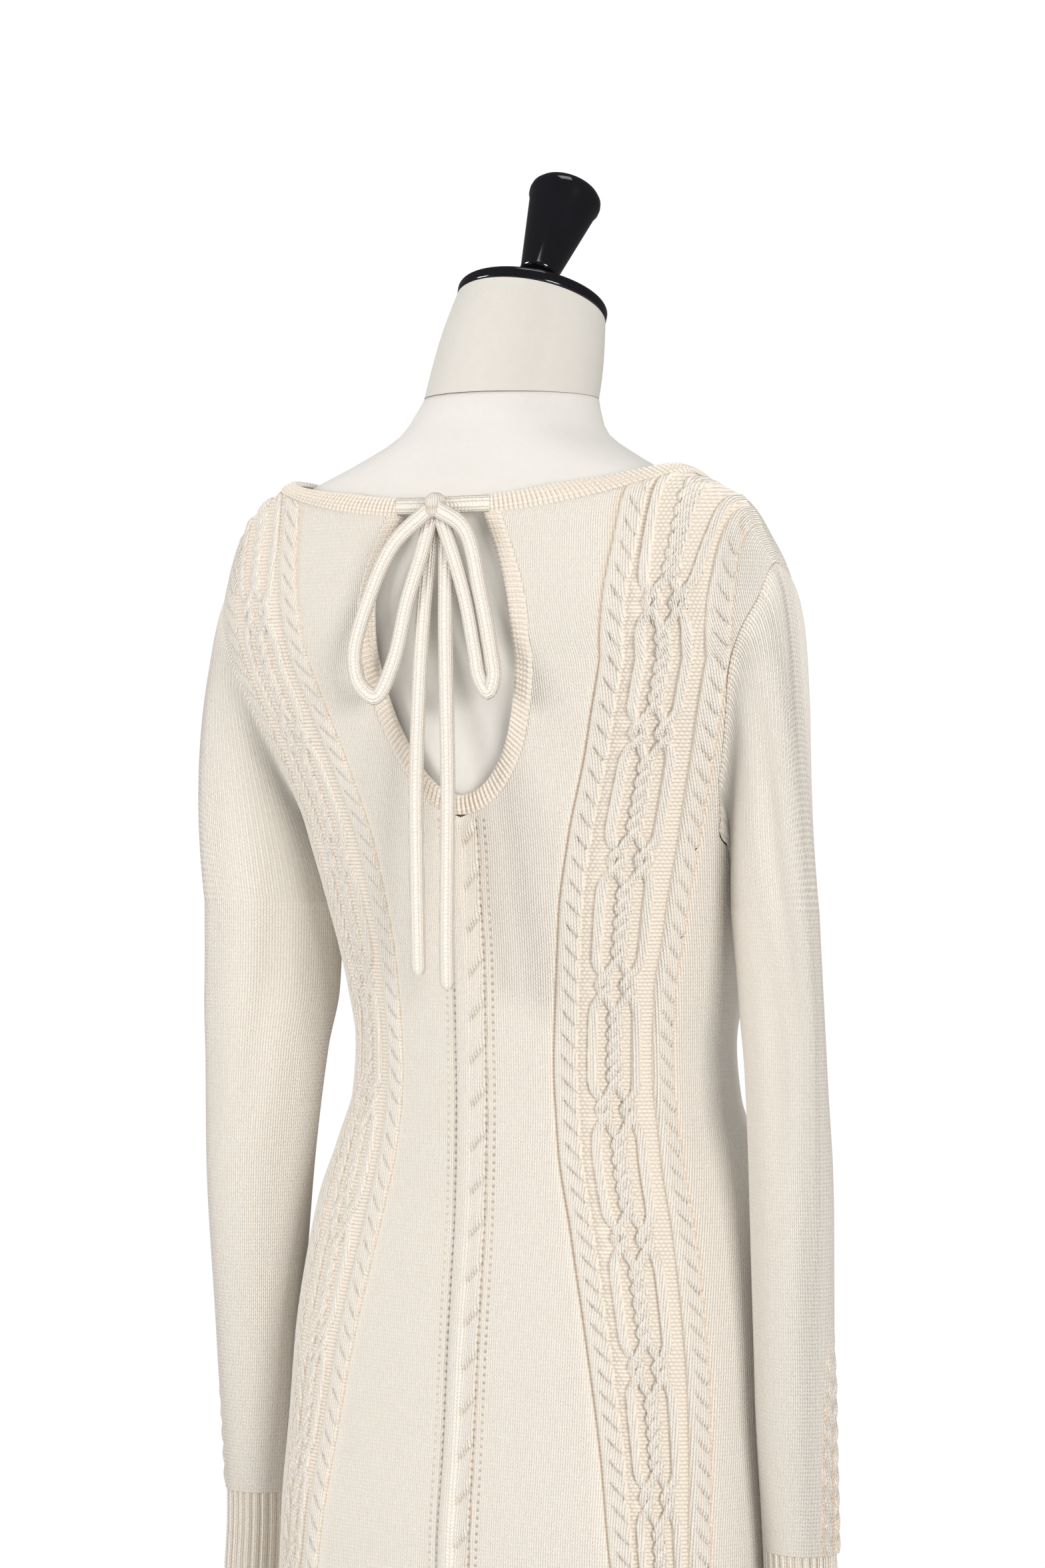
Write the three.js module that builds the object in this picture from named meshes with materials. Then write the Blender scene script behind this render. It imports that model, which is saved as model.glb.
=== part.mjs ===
// A cable knit sweater dress worn on a limbless dress form, in millimetres.
// +Z is up, the base stands on Z = 0, the front faces -Y and the wearer's left side is +X.
import * as THREE from 'three';
import { mergeVertices } from 'three/addons/utils/BufferGeometryUtils.js';

// Driving sizes
const WALL = 2.5; // thickness of the knit
const SEAM = 0.35; // space between two pieces at a seam
const HEM_Z = 245; // height of the hem
const UNDERARM_Z = 1127; // height of the armhole's lowest point
const YOKE_Z = 1242.5; // above this the rows rise towards neck and shoulder
const NECK_POINT = { x: 149, z: 1355 }; // where the shoulder seam meets the neckband
const SHOULDER_TIP_Z = 1300; // where the shoulder seam meets the sleeve
const BACK_NECK_Z = 1331; // lowest point of the back panel's top edge
const FRONT_NECK_Z = 1288; // lowest point of the front panel's top edge
const BAND = 12; // width of the neckband and of the keyhole's binding
const BAND_LIFT = 1.2; // how far the bands stand proud of the knit
const TOP_ROW_LENGTH = 244; // from the centre to the sleeve along a panel's top edge

// Keyhole, as its binding's outer edge: a round foot below a slanting top
const KEYHOLE = { widestZ: 1275, halfWidth: 64.3, footZ: 1148, topHalfWidth: 45.3, topZ: 1330 };

// Cables
const LINK = 77; // one link of the open chain cable
const TOP_NODE_Z = 1281; // highest crossing of the chain cable
const CORD_LIFT = 3.2; // height of a raised cord over the knit
const BRAID_LIFT = 2.8; // height of a border braid
const GROUND_DROP = 0.8; // depth of the purl ground beside a cord

const QUARTER = Math.PI / 2;

function table(names, rows) {
  return rows.map((row) => Object.fromEntries(names.map((name, i) => [name, row[i]])));
}

// The dress's outer form, one row for each height: half width, back and front depth, the side's own depth,
// and how square the back and the front are
const BODY = table(['z', 'half', 'back', 'front', 'side', 'squareBack', 'squareFront'], [
  [230, 224, 133, -139, 0, 2.2, 2.2],
  [400, 204, 122, -130, 0, 2.3, 2.2],
  [550, 186, 116, -124, 2, 2.5, 2.3],
  [622, 177.5, 113, -121, 5, 2.7, 2.4],
  [700, 172.5, 110, -118, 8, 2.8, 2.4],
  [760, 171, 104, -114, 10, 2.6, 2.4],
  [820, 169, 99, -110, 10, 2.5, 2.3],
  [860, 165, 95, -105, 8, 2.4, 2.3],
  [900, 158, 91, -100, 6, 2.3, 2.2],
  [935, 146, 89.5, -95, 3, 2.2, 2.15],
  [970, 131.5, 89, -90, 2, 2.15, 2.15],
  [1003, 128.5, 90, -88, 2, 2.15, 2.15],
  [1037, 134.5, 91, -89, 4, 2.15, 2.15],
  [1060, 139.5, 92, -91, 8, 2.15, 2.2],
  [1100, 146, 96, -97, 20, 2.2, 2.2],
  [1127, 152, 98, -103, 28, 2.2, 2.2],
  [1146, 157, 101, -106, 31, 2.2, 2.2],
  [1183, 175, 106, -109, 36, 2.3, 2.15],
  [1208, 188, 112, -103, 42, 2.3, 2.1],
  [1240, 202, 119, -90, 50, 2.3, 2],
  [1260, 205, 124, -80, 56, 2.3, 1.95],
  [1280, 203, 126, -69, 59, 2.3, 1.9],
  [1300, 199, 125.5, -58, 60, 2.2, 1.8],
  [1315, 193, 124, -49, 61, 2.1, 1.7],
  [1338, 180, 121, -39, 65, 2, 1.6],
  [1355, 149, 117, -28, 75, 2, 1.7],
  [1374, 98, 111, -21, 64, 2, 1.9],
  [1393, 62, 105.5, -15, 50, 2, 2],
  [1409, 55.5, 96, -13, 42, 2, 2],
  [1429, 53.8, 88, -20, 34, 2, 2],
]);

// The armholes' edges: half width of the back and the front panel at each height
const ARMHOLE = table(['z', 'back', 'front'], [
  [1127, 152, 152],
  [1135, 151.3, 152.5],
  [1146, 153.5, 152],
  [1165, 158, 149],
  [1183, 164, 147],
  [1208, 172, 147],
  [1240, 181, 151],
  [1263, 190, 164],
  [1282, 197, 183],
  [1300, 199, 199],
]);

// The form inside: how far its sides stay in from the dress's, and its clearance all round
const FORM_ROOM = table(['z', 'side', 'gap'], [
  [700, 2, 6],
  [900, 0, 4.5],
  [1100, 0, 4],
  [1127, 2, 4],
  [1183, 22, 4],
  [1240, 38, 4],
  [1280, 28, 4],
  [1300, 18, 3.9],
  [1315, 12, 4.5],
  [1338, 11, 5.5],
  [1355, 5, 4.6],
  [1374, 0, 2],
  [1395, 0, 0],
  [1429, 0, 0],
]);

// Cable lines on one half of the back, as arc lengths from the centre back
const CABLES = table(['z', 'inner', 'spread'], [
  [230, 160, 46],
  [400, 146, 45],
  [550, 131, 45],
  [670, 118, 46],
  [760, 105, 53],
  [820, 94, 59],
  [897, 77, 62.5],
  [943, 67.5, 62],
  [990, 64, 60],
  [1037, 66, 60],
  [1084, 70.5, 65],
  [1131, 79.5, 67],
  [1178, 94, 65],
  [1225, 109, 64.5],
  [1272, 124, 66],
  [1319, 135, 67],
  [1352, 140, 68],
]);

// A sleeve below its cap, by height: the ellipse's centre and its half sizes
const SLEEVE = table(['z', 'x', 'y', 'long', 'short'], [
  [622, 204, 27, 25, 20],
  [704, 198.6, 30.5, 26, 21],
  [801, 198.5, 37, 28.5, 22.5],
  [900, 197.5, 38.5, 34.5, 21.5],
  [994, 193, 37, 40.5, 18.5],
  [1032, 189.5, 36, 44.5, 17],
  [1090, 186.5, 38, 45.5, 18.5],
]);
const SLEEVE_TURN = THREE.MathUtils.degToRad(32); // the flattened sleeve's long way, from the X axis
const CUFF = { topZ: 704, endZ: 634, long: 24.6, short: 20, ribs: 14, ribLift: 0.8 };

// Monotone cubic through one column of a table
const slopeCache = new Map();
function slopes(rows, name) {
  const key = rows[0];
  if (!slopeCache.has(key)) slopeCache.set(key, {});
  const kept = slopeCache.get(key);
  if (kept[name]) return kept[name];
  const steps = rows.slice(1).map((row, i) => (row[name] - rows[i][name]) / (row.z - rows[i].z));
  const found = rows.map((row, i) => {
    if (i === 0) return steps[0];
    if (i === rows.length - 1) return steps[i - 1];
    const [before, after] = [steps[i - 1], steps[i]];
    return before * after <= 0 ? 0 : (2 * before * after) / (before + after);
  });
  kept[name] = found;
  return found;
}

function at(rows, name, z) {
  const last = rows.length - 1;
  if (z <= rows[0].z) return rows[0][name];
  if (z >= rows[last].z) return rows[last][name];
  let i = 0;
  while (rows[i + 1].z < z) i += 1;
  const slope = slopes(rows, name);
  const width = rows[i + 1].z - rows[i].z;
  const u = (z - rows[i].z) / width;
  const [u2, u3] = [u * u, u * u * u];
  return rows[i][name] * (2 * u3 - 3 * u2 + 1) + slope[i] * width * (u3 - 2 * u2 + u)
    + rows[i + 1][name] * (3 * u2 - 2 * u3) + slope[i + 1] * width * (u3 - u2);
}

const mix = THREE.MathUtils.lerp;

// A point of the dress's form: turn runs from the centre back (0) past the side (a quarter) to the centre front
function bodyPoint(turn, z, sideRoom = 0) {
  const half = at(BODY, 'half', z) - sideRoom;
  const side = at(BODY, 'side', z);
  const isBack = Math.abs(turn) <= QUARTER;
  const square = at(BODY, isBack ? 'squareBack' : 'squareFront', z);
  const depth = at(BODY, isBack ? 'back' : 'front', z) - side;
  const [sine, cosine] = [Math.sin(turn), Math.abs(Math.cos(turn))];
  const x = Math.sign(sine) * half * Math.abs(sine) ** (2 / square);
  return new THREE.Vector3(x, side + depth * cosine ** (2 / square), z);
}

function bodyNormal(turn, z, sideRoomAt = () => 0) {
  const [dTurn, dZ] = [0.004, 0.2];
  const across = bodyPoint(turn + dTurn, z, sideRoomAt(z)).sub(bodyPoint(turn - dTurn, z, sideRoomAt(z)));
  const up = bodyPoint(turn, z + dZ, sideRoomAt(z + dZ)).sub(bodyPoint(turn, z - dZ, sideRoomAt(z - dZ)));
  return up.cross(across).normalize();
}

// The turn at which the section at z is x wide
function turnAt(face, x, z) {
  const square = at(BODY, face === 'back' ? 'squareBack' : 'squareFront', z);
  const share = Math.min(1, x / at(BODY, 'half', z));
  const turn = Math.asin(share ** (square / 2));
  return face === 'back' ? turn : Math.PI - turn;
}

function armholeTurn(face, z) {
  if (z <= UNDERARM_Z) return QUARTER;
  return turnAt(face, at(ARMHOLE, face, z), z);
}

// Turns along a level row, by the share of the way from the centre to the edge
function levelRow(face, z) {
  const start = face === 'back' ? 0 : Math.PI;
  const end = armholeTurn(face, z);
  const steps = 60;
  const turns = Array.from({ length: steps + 1 }, (_, i) => mix(start, end, i / steps));
  const lengths = [0];
  for (let i = 1; i <= steps; i += 1) {
    lengths.push(lengths[i - 1] + bodyPoint(turns[i], z).distanceTo(bodyPoint(turns[i - 1], z)));
  }
  const total = lengths[steps];
  const turnOf = (share) => {
    const wanted = Math.min(Math.max(share, 0), 1) * total;
    let i = 1;
    while (i < steps && lengths[i] < wanted) i += 1;
    return mix(turns[i - 1], turns[i], (wanted - lengths[i - 1]) / (lengths[i] - lengths[i - 1]));
  };
  return { total, turnOf };
}

// The top edge of a panel: the neckline, then the shoulder seam down to the sleeve
const NECKLINE_SHARE = 0.655;
function topEdge(face, share) {
  const lowest = face === 'back' ? BACK_NECK_Z : FRONT_NECK_Z;
  if (share >= NECKLINE_SHARE) {
    const along = (share - NECKLINE_SHARE) / (1 - NECKLINE_SHARE);
    return { z: mix(NECK_POINT.z, SHOULDER_TIP_Z, along ** 1.25), x: null };
  }
  const x = (NECK_POINT.x * share) / NECKLINE_SHARE;
  return { z: lowest + (NECK_POINT.z - lowest) * (x / NECK_POINT.x) ** 2.2, x };
}

// One row of a panel. Low rows are level; yoke rows (rise 0 to 1) bend up to the neckline and shoulder seam.
function panelRow(face, z, rise) {
  const level = levelRow(face, z);
  if (rise === undefined) {
    return { total: level.total, place: (share) => ({ turn: level.turnOf(share), z }) };
  }
  const base = levelRow(face, YOKE_Z);
  const ease = 1 - (1 - rise) ** 1.5;
  const edgeZ = mix(YOKE_Z, SHOULDER_TIP_Z, ease);
  const baseEdge = at(ARMHOLE, face, YOKE_Z);
  const total = mix(base.total, TOP_ROW_LENGTH, ease);
  const place = (share) => {
    const top = topEdge(face, share);
    const rowZ = mix(YOKE_Z, top.z, ease);
    const topX = top.x === null ? at(BODY, 'half', top.z) : top.x;
    if (rise === 1 && top.x === null) return { turn: QUARTER, z: rowZ };
    const baseX = Math.abs(bodyPoint(base.turnOf(share), YOKE_Z).x);
    const x = mix((baseX * at(ARMHOLE, face, edgeZ)) / baseEdge, topX, rise * rise);
    return { turn: turnAt(face, x, rowZ), z: rowZ };
  };
  return { total, place };
}

// Heights of the rows: two, then four to each link of the chain, then the keyhole's foot, then the yoke
const SPARSE_Z = 600;
const levelHeights = [HEM_Z];
for (let quarter = 52; quarter > 2; quarter -= 1) {
  const z = TOP_NODE_Z - (quarter * LINK) / 4;
  const isFoot = Math.abs(z - KEYHOLE.footZ) < LINK / 8;
  if (isFoot) levelHeights.push(KEYHOLE.footZ, KEYHOLE.footZ + 2.5, KEYHOLE.footZ + 8);
  else if (z > SPARSE_Z || quarter % 2 === 0) levelHeights.push(z);
}
const YOKE_RISES = [0.001, 0.16, 0.34, 0.52, 0.68, 0.81, 0.92, 1];
const ROWS = [
  ...levelHeights.map((z) => ({ z })),
  ...YOKE_RISES.map((rise) => ({ z: YOKE_Z, rise })),
];
const UNDERARM_ROW = ROWS.findIndex((row) => Math.abs(row.z - UNDERARM_Z) < 2);
const FOOT_ROW = ROWS.findIndex((row) => row.z === KEYHOLE.footZ);
ROWS[UNDERARM_ROW].z = UNDERARM_Z;

function keyholeHalfWidth(z) {
  const { widestZ, halfWidth, footZ, topHalfWidth, topZ } = KEYHOLE;
  if (z <= footZ) return 0;
  if (z < widestZ) return halfWidth * Math.sqrt(1 - ((widestZ - z) / (widestZ - footZ)) ** 2);
  return mix(halfWidth, topHalfWidth, ((z - widestZ) / (topZ - widestZ)) ** 1.5);
}

// How near a height is to a crossing of the chain cable, from 0 to 1
function crossing(z) {
  const away = Math.abs(((((z - TOP_NODE_Z) % LINK) + 1.5 * LINK) % LINK) - LINK / 2);
  return z > TOP_NODE_Z + LINK / 2 ? 0 : Math.exp(-((away / 13) ** 2));
}

// Columns of one half of the back: arc length from the centre, and height over the knit
function backColumns(z, centreZ, total) {
  const keyhole = keyholeHalfWidth(centreZ);
  const inner = at(CABLES, 'inner', z);
  const spread = at(CABLES, 'spread', z);
  const outer = inner + spread;
  const open = keyhole > 0 ? 0 : 1;
  const squeeze = (q) => keyhole + (q * (inner - 9 - keyhole)) / (inner - 9);
  const near = crossing(z);
  const middle = inner + spread / 2;
  const cord = mix(16, 8.5, near) * (spread / 70);
  const rope = mix(4.5, 1.8, near);
  const ground = -GROUND_DROP;
  const rest = total - outer - 8;
  return [
    [squeeze(0), 2.4 * open], [squeeze(9), 2 * open], [squeeze(13), -0.4 * open], [squeeze(20), 0],
    [squeeze((inner + 11) / 2), 0],
    [inner - 8, -0.5], [inner, BRAID_LIFT], [inner + 8, ground],
    [middle - cord - 4, ground], [middle - cord, mix(CORD_LIFT, 4, near)], [middle - cord + 4, mix(ground, 1.5, near)],
    [middle - rope, mix(0.5, 1.5, near)], [middle, mix(3, 0.6, near)], [middle + rope, mix(0.5, 1.5, near)],
    [middle + cord - 4, mix(ground, 1.5, near)], [middle + cord, mix(CORD_LIFT, 4, near)], [middle + cord + 4, ground],
    [outer - 8, ground], [outer, BRAID_LIFT], [outer + 8, -0.5],
    [outer + 8 + rest * 0.35, 0], [outer + 8 + rest * 0.7, 0], [total - SEAM / 2, 0],
  ];
}
const BACK_INNER_COLUMNS = [0, 3, 5, 7, 11, 14, 17, 19, 20, 21, 22];

function frontColumns(_z, _centreZ, total) {
  const shares = [0, 0.17, 0.32, 0.45, 0.56, NECKLINE_SHARE, 0.76, 0.88];
  return [...shares.map((share) => [total * share, 0]), [total - SEAM / 2, 0]];
}
const FRONT_INNER_COLUMNS = [0, 2, 3, 4, 5, 6, 7, 8];

// Columns of one row as [share of its length, height over the knit]; one column of the top row ends at the
// neck point
function columnsIn(row, columnsOf, isTop) {
  const columns = columnsOf(row.place(0.5).z, row.place(0).z, row.total);
  const shares = columns.map(([q, lift]) => [q / row.total, lift]);
  if (isTop) {
    const off = ([share]) => Math.abs(share - NECKLINE_SHARE);
    shares.reduce((best, column) => (off(column) < off(best) ? column : best))[0] = NECKLINE_SHARE;
  }
  return shares;
}

// A grid of wall points for one half of a panel; side is 1 for the wearer's left and -1 for the right
const SHOULDER_DROP = 0.7; // how far the panels' shoulder edges stay from the seam line
const TOP_LIFT = 0.4; // share of a cable's height left at the top edge
function halfPanel(face, side, columnsOf) {
  return ROWS.map(({ z, rise }) => {
    const row = panelRow(face, z, rise);
    const isTop = rise === 1;
    return columnsIn(row, columnsOf, isTop).map(([share, lift]) => {
      const { turn, z: height } = row.place(share);
      const point = bodyPoint(turn, height);
      const normal = bodyNormal(turn, height);
      if (isTop && share >= NECKLINE_SHARE) point.y += face === 'back' ? SHOULDER_DROP : -SHOULDER_DROP;
      point.x *= side;
      normal.x *= side;
      return wallPoint(point, normal, isTop ? lift * TOP_LIFT : lift);
    });
  });
}

function wallPoint(point, normal, lift = 0) {
  return {
    outer: point.clone().addScaledVector(normal, lift),
    inner: point.clone().addScaledVector(normal, -WALL),
  };
}

// Collects triangles of one closed body
class Shell {
  constructor() {
    this.corners = [];
  }

  triangle(a, b, c, flip) {
    if (a.distanceToSquared(b) < 1e-8 || b.distanceToSquared(c) < 1e-8 || c.distanceToSquared(a) < 1e-8) return;
    this.corners.push(...(flip ? [a, c, b] : [a, b, c]));
  }

  // Faces between neighbouring rows of points
  grid(rows, flip = false) {
    for (let i = 1; i < rows.length; i += 1) {
      for (let j = 1; j < rows[i].length; j += 1) {
        const [a, b, c, d] = [rows[i - 1][j - 1], rows[i - 1][j], rows[i][j], rows[i][j - 1]];
        const isShort = a.distanceToSquared(c) <= b.distanceToSquared(d);
        this.triangle(a, b, isShort ? c : d, flip);
        this.triangle(isShort ? a : b, c, d, flip);
      }
    }
  }

  // Faces between two lines that run side by side, with their own numbers of points
  stitch(first, second, flip = false) {
    const shares = [first, second].map((line) => {
      const lengths = [0];
      for (let i = 1; i < line.length; i += 1) lengths.push(lengths[i - 1] + line[i].distanceTo(line[i - 1]));
      return lengths.map((length) => length / lengths[lengths.length - 1]);
    });
    let [i, j] = [0, 0];
    while (i < first.length - 1 || j < second.length - 1) {
      const isFirst = j === second.length - 1
        || (i < first.length - 1 && shares[0][i + 1] + shares[0][i] <= shares[1][j + 1] + shares[1][j]);
      if (isFirst) {
        this.triangle(first[i], first[i + 1], second[j], flip);
        i += 1;
      } else {
        this.triangle(first[i], second[j + 1], second[j], flip);
        j += 1;
      }
    }
  }

  // A fan that closes a ring of points
  fan(ring, flip = false) {
    const middle = ring.reduce((sum, p) => sum.add(p), new THREE.Vector3()).divideScalar(ring.length);
    ring.forEach((p, i) => this.triangle(middle, p, ring[(i + 1) % ring.length], flip));
  }

  mesh(name, finish) {
    const geometry = new THREE.BufferGeometry();
    const numbers = this.corners.flatMap((p) => [p.x, p.y, p.z]);
    geometry.setAttribute('position', new THREE.Float32BufferAttribute(numbers, 3));
    const mesh = new THREE.Mesh(mergeVertices(geometry, 1e-3), finish);
    mesh.name = name;
    return mesh;
  }
}

const finish = (colour, roughness, metalness = 0) => () => new THREE.MeshStandardMaterial({
  color: colour, roughness, metalness,
});
const knit = finish(0xf3ebde, 0.9);
const linen = finish(0xe5e0d8, 0.85);
const gloss = finish(0x08080a, 0.12);
const paintedMetal = finish(0x1c1c1e, 0.4, 0.5);

const pick = (list, numbers) => numbers.map((i) => list[i]);
const side = (rows, face) => rows.map((row) => row.map((p) => p[face]));

// Rows of the plain inner wall: every second one low down, all of them in the yoke and round the keyhole
const INNER_ROWS = ROWS.map((_, i) => i).filter((i) => i >= UNDERARM_ROW || i % 2 === 0);

// A panel with an optional slit from its top down to row slitRow
function panelShell(face, columnsOf, innerColumns, slitRow) {
  const shell = new Shell();
  for (const hand of [1, -1]) {
    const flip = (hand === 1) === (face === 'back');
    const grid = halfPanel(face, hand, columnsOf);
    const outer = side(grid, 'outer');
    const lastInner = INNER_ROWS.length - 1;
    const inner = pick(side(grid, 'inner'), INNER_ROWS)
      .map((row, i) => (i === lastInner ? row : pick(row, innerColumns)));
    const slitInner = INNER_ROWS.indexOf(slitRow);
    shell.grid(outer, flip);
    shell.grid(inner.slice(0, lastInner), !flip);
    shell.stitch(inner[lastInner - 1], inner[lastInner], !flip);
    const lastRow = outer.length - 1;
    shell.stitch(outer[0], inner[0], !flip);
    shell.stitch(outer[lastRow], inner[lastInner], flip);
    const edge = (rows) => rows.map((row) => row[row.length - 1]);
    shell.stitch(edge(outer), edge(inner), !flip);
    if (slitRow !== undefined) {
      const slit = (rows, from) => rows.slice(from).map((row) => row[0]);
      shell.stitch(slit(outer, slitRow), slit(inner, slitInner), flip);
    }
  }
  return shell;
}

// A closed tube wall from rings of wall points, open at both ends
function tubeShell(rings, allInnerUpTo = 0, flip = false) {
  const shell = new Shell();
  const closed = (row) => [...row, row[0]];
  const outer = side(rings, 'outer').map(closed);
  const last = rings.length - 1;
  const keep = rings.map((_, i) => i).filter((i) => i <= allInnerUpTo || i % 2 === 0 || i === last);
  const inner = pick(side(rings, 'inner'), keep).map(closed);
  shell.grid(outer, flip);
  shell.grid(inner, !flip);
  shell.stitch(outer[0], inner[0], !flip);
  shell.stitch(outer[outer.length - 1], inner[inner.length - 1], flip);
  return shell;
}

// The armhole as a ring: up the back panel's edge from the underarm, over the shoulder tip, down the front's
function armholeRing() {
  const skipped = [KEYHOLE.footZ, KEYHOLE.footZ + 2.5, YOKE_RISES[4], YOKE_RISES[6]];
  const edgeRows = ROWS.slice(UNDERARM_ROW).filter(({ z, rise }) => !skipped.includes(rise ?? z));
  const edgeOf = (face) => edgeRows.map(({ z, rise }) => {
    const row = panelRow(face, z, rise);
    const [edge, before] = [1, 0.97].map((share) => row.place(share));
    const point = bodyPoint(edge.turn, edge.z);
    const outward = point.clone().sub(bodyPoint(before.turn, before.z)).normalize();
    return { point, outward, normal: bodyNormal(edge.turn, edge.z) };
  });
  const back = edgeOf('back');
  const front = edgeOf('front').slice(1, -1).reverse();
  back[0].outward.set(0, 0, 1);
  return [...back, ...front];
}

const sleeveAxis = new THREE.Vector3(Math.cos(SLEEVE_TURN), Math.sin(SLEEVE_TURN), 0);
const sleeveAcross = new THREE.Vector3(-Math.sin(SLEEVE_TURN), Math.cos(SLEEVE_TURN), 0);

// A point of the sleeve below its cap; angle 0 faces the body, a half turn faces away from it
function sleevePoint(angle, z, long = at(SLEEVE, 'long', z), short = at(SLEEVE, 'short', z)) {
  return new THREE.Vector3(at(SLEEVE, 'x', z), at(SLEEVE, 'y', z), z)
    .addScaledVector(sleeveAxis, -long * Math.cos(angle))
    .addScaledVector(sleeveAcross, short * Math.sin(angle));
}

const CAP_Z = 1090; // where the sleeve's cap ends and its plain tube begins
const CAP_STEPS = [0, 0.1, 0.24, 0.42, 0.6, 0.8, 1];
const SLEEVE_RINGS = [1060, 1032, 994, 950, 900, 850, 800, 745];

// The wedge of cable on the forearm: two braids either side of a groove, on the outer front of the sleeve
const WEDGE = { topZ: 850, angle: THREE.MathUtils.degToRad(212), reach: 0.5, lift: 1.6 };
function wedgeLift(angle, z) {
  const grown = Math.min(1, Math.max(0, (WEDGE.topZ - z) / 130));
  const off = Math.abs(angle - WEDGE.angle) / (WEDGE.reach * (0.3 + 0.7 * grown));
  return off > 1.3 ? 0 : WEDGE.lift * grown * Math.cos(off * Math.PI * 1.5) * -1;
}

function sleeveRings() {
  const ring = armholeRing();
  const angles = ring.map((_, i) => (2 * Math.PI * i) / ring.length);
  const capPoint = (i, along) => {
    const { point, outward } = ring[i];
    const away = (1 - Math.cos(angles[i])) / 2;
    const end = sleevePoint(angles[i], CAP_Z);
    const start = point.clone().addScaledVector(outward, SEAM);
    const lead = outward.clone().lerp(new THREE.Vector3(1, 0, -0.3), i === 0 ? 1 : 0.35).normalize();
    const first = start.clone().addScaledVector(lead, mix(9, 20, Math.sin(angles[i] / 2) ** 2));
    const second = end.clone().add(new THREE.Vector3(0, 24 * away, mix(12, 120, away)));
    const curve = new THREE.CubicBezierCurve3(start, first, second, end);
    return curve.getPoint(along);
  };
  const points = [
    ...CAP_STEPS.map((along) => ring.map((_, i) => capPoint(i, along))),
    ...[...SLEEVE_RINGS, CUFF.topZ + SEAM + 0.1].map((z) => angles.map((angle) => sleevePoint(angle, z))),
  ];
  return points.map((row, k) => row.map((point, i) => {
    if (k === 0) {
      const inner = ring[i].point.clone().addScaledVector(ring[i].normal, -WALL);
      return { outer: point, inner: inner.addScaledVector(ring[i].outward, SEAM) };
    }
    const around = row[(i + 1) % row.length].clone().sub(row[(i + row.length - 1) % row.length]);
    const along = points[Math.min(k + 1, points.length - 1)][i].clone().sub(points[k - 1][i]);
    const normal = around.cross(along).normalize();
    return wallPoint(point, normal, wedgeLift(angles[i], point.z));
  }));
}

function cuffRings() {
  const count = CUFF.ribs * 2;
  return [CUFF.topZ, (CUFF.topZ + CUFF.endZ) / 2, CUFF.endZ].map((z) => Array.from({ length: count }, (_, i) => {
    const angle = (2 * Math.PI * i) / count;
    const point = sleevePoint(angle, z, CUFF.long, CUFF.short);
    point.z = z;
    const normal = point.clone().sub(sleevePoint(angle, z, 0, 0)).setZ(0).normalize();
    return wallPoint(point, normal, i % 2 ? CUFF.ribLift : 0);
  }));
}

function mirrored(rings) {
  const flipX = (p) => new THREE.Vector3(-p.x, p.y, p.z);
  return rings.map((row) => row.map((p) => ({ outer: flipX(p.outer), inner: flipX(p.inner) })));
}

// A band along the edge of the knit: each station has a run of wall points across the band
function bandShell(stations, flip = false) {
  const shell = new Shell();
  const outer = side(stations, 'outer');
  const inner = side(stations, 'inner').map((row) => [row[0], row[row.length - 1]]);
  const last = stations.length - 1;
  shell.grid(outer, flip);
  shell.grid(inner, !flip);
  shell.stitch(outer[0], inner[0], !flip);
  shell.stitch(outer[last], inner[last], flip);
  const line = (rows, isFar) => rows.map((row) => row[isFar ? row.length - 1 : 0]);
  shell.stitch(line(outer, false), line(inner, false), flip);
  shell.stitch(line(outer, true), line(inner, true), !flip);
  return shell;
}

const BAND_ACROSS = [0, 0.2, 0.8, 1]; // shares of the band's width that have points
const bandLift = (share) => (share > 0 && share < 1 ? BAND_LIFT : 0);

// The neckband, from the keyhole over the wearer's left shoulder, round the front and back to the keyhole
function neckbandStations() {
  const stations = [];
  const addRun = (face, hand, shares) => shares.forEach((share) => {
    const top = topEdge(face, share);
    const turn = top.x === null ? QUARTER : turnAt(face, top.x, top.z);
    const climb = bodyPoint(turn, top.z + 1).distanceTo(bodyPoint(turn, top.z));
    stations.push(BAND_ACROSS.map((across) => {
      const z = top.z + (SEAM + 0.35 + across * BAND) / climb;
      const point = bodyPoint(turn, z);
      const normal = bodyNormal(turn, z);
      point.x *= hand;
      normal.x *= hand;
      return wallPoint(point, normal, bandLift(across));
    }));
  });
  const sharesOf = (face, columnsOf) => columnsIn(panelRow(face, YOKE_Z, 1), columnsOf, true)
    .map(([share]) => share).filter((share) => share <= NECKLINE_SHARE);
  const opening = ((KEYHOLE.topHalfWidth - BAND) / NECK_POINT.x) * NECKLINE_SHARE;
  const backShares = [opening, ...sharesOf('back', backColumns)];
  const frontShares = sharesOf('front', frontColumns).slice(0, -1);
  addRun('back', 1, backShares);
  addRun('front', 1, [...frontShares].reverse());
  addRun('front', -1, frontShares.slice(1));
  addRun('back', -1, [...backShares].reverse());
  return stations;
}

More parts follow.
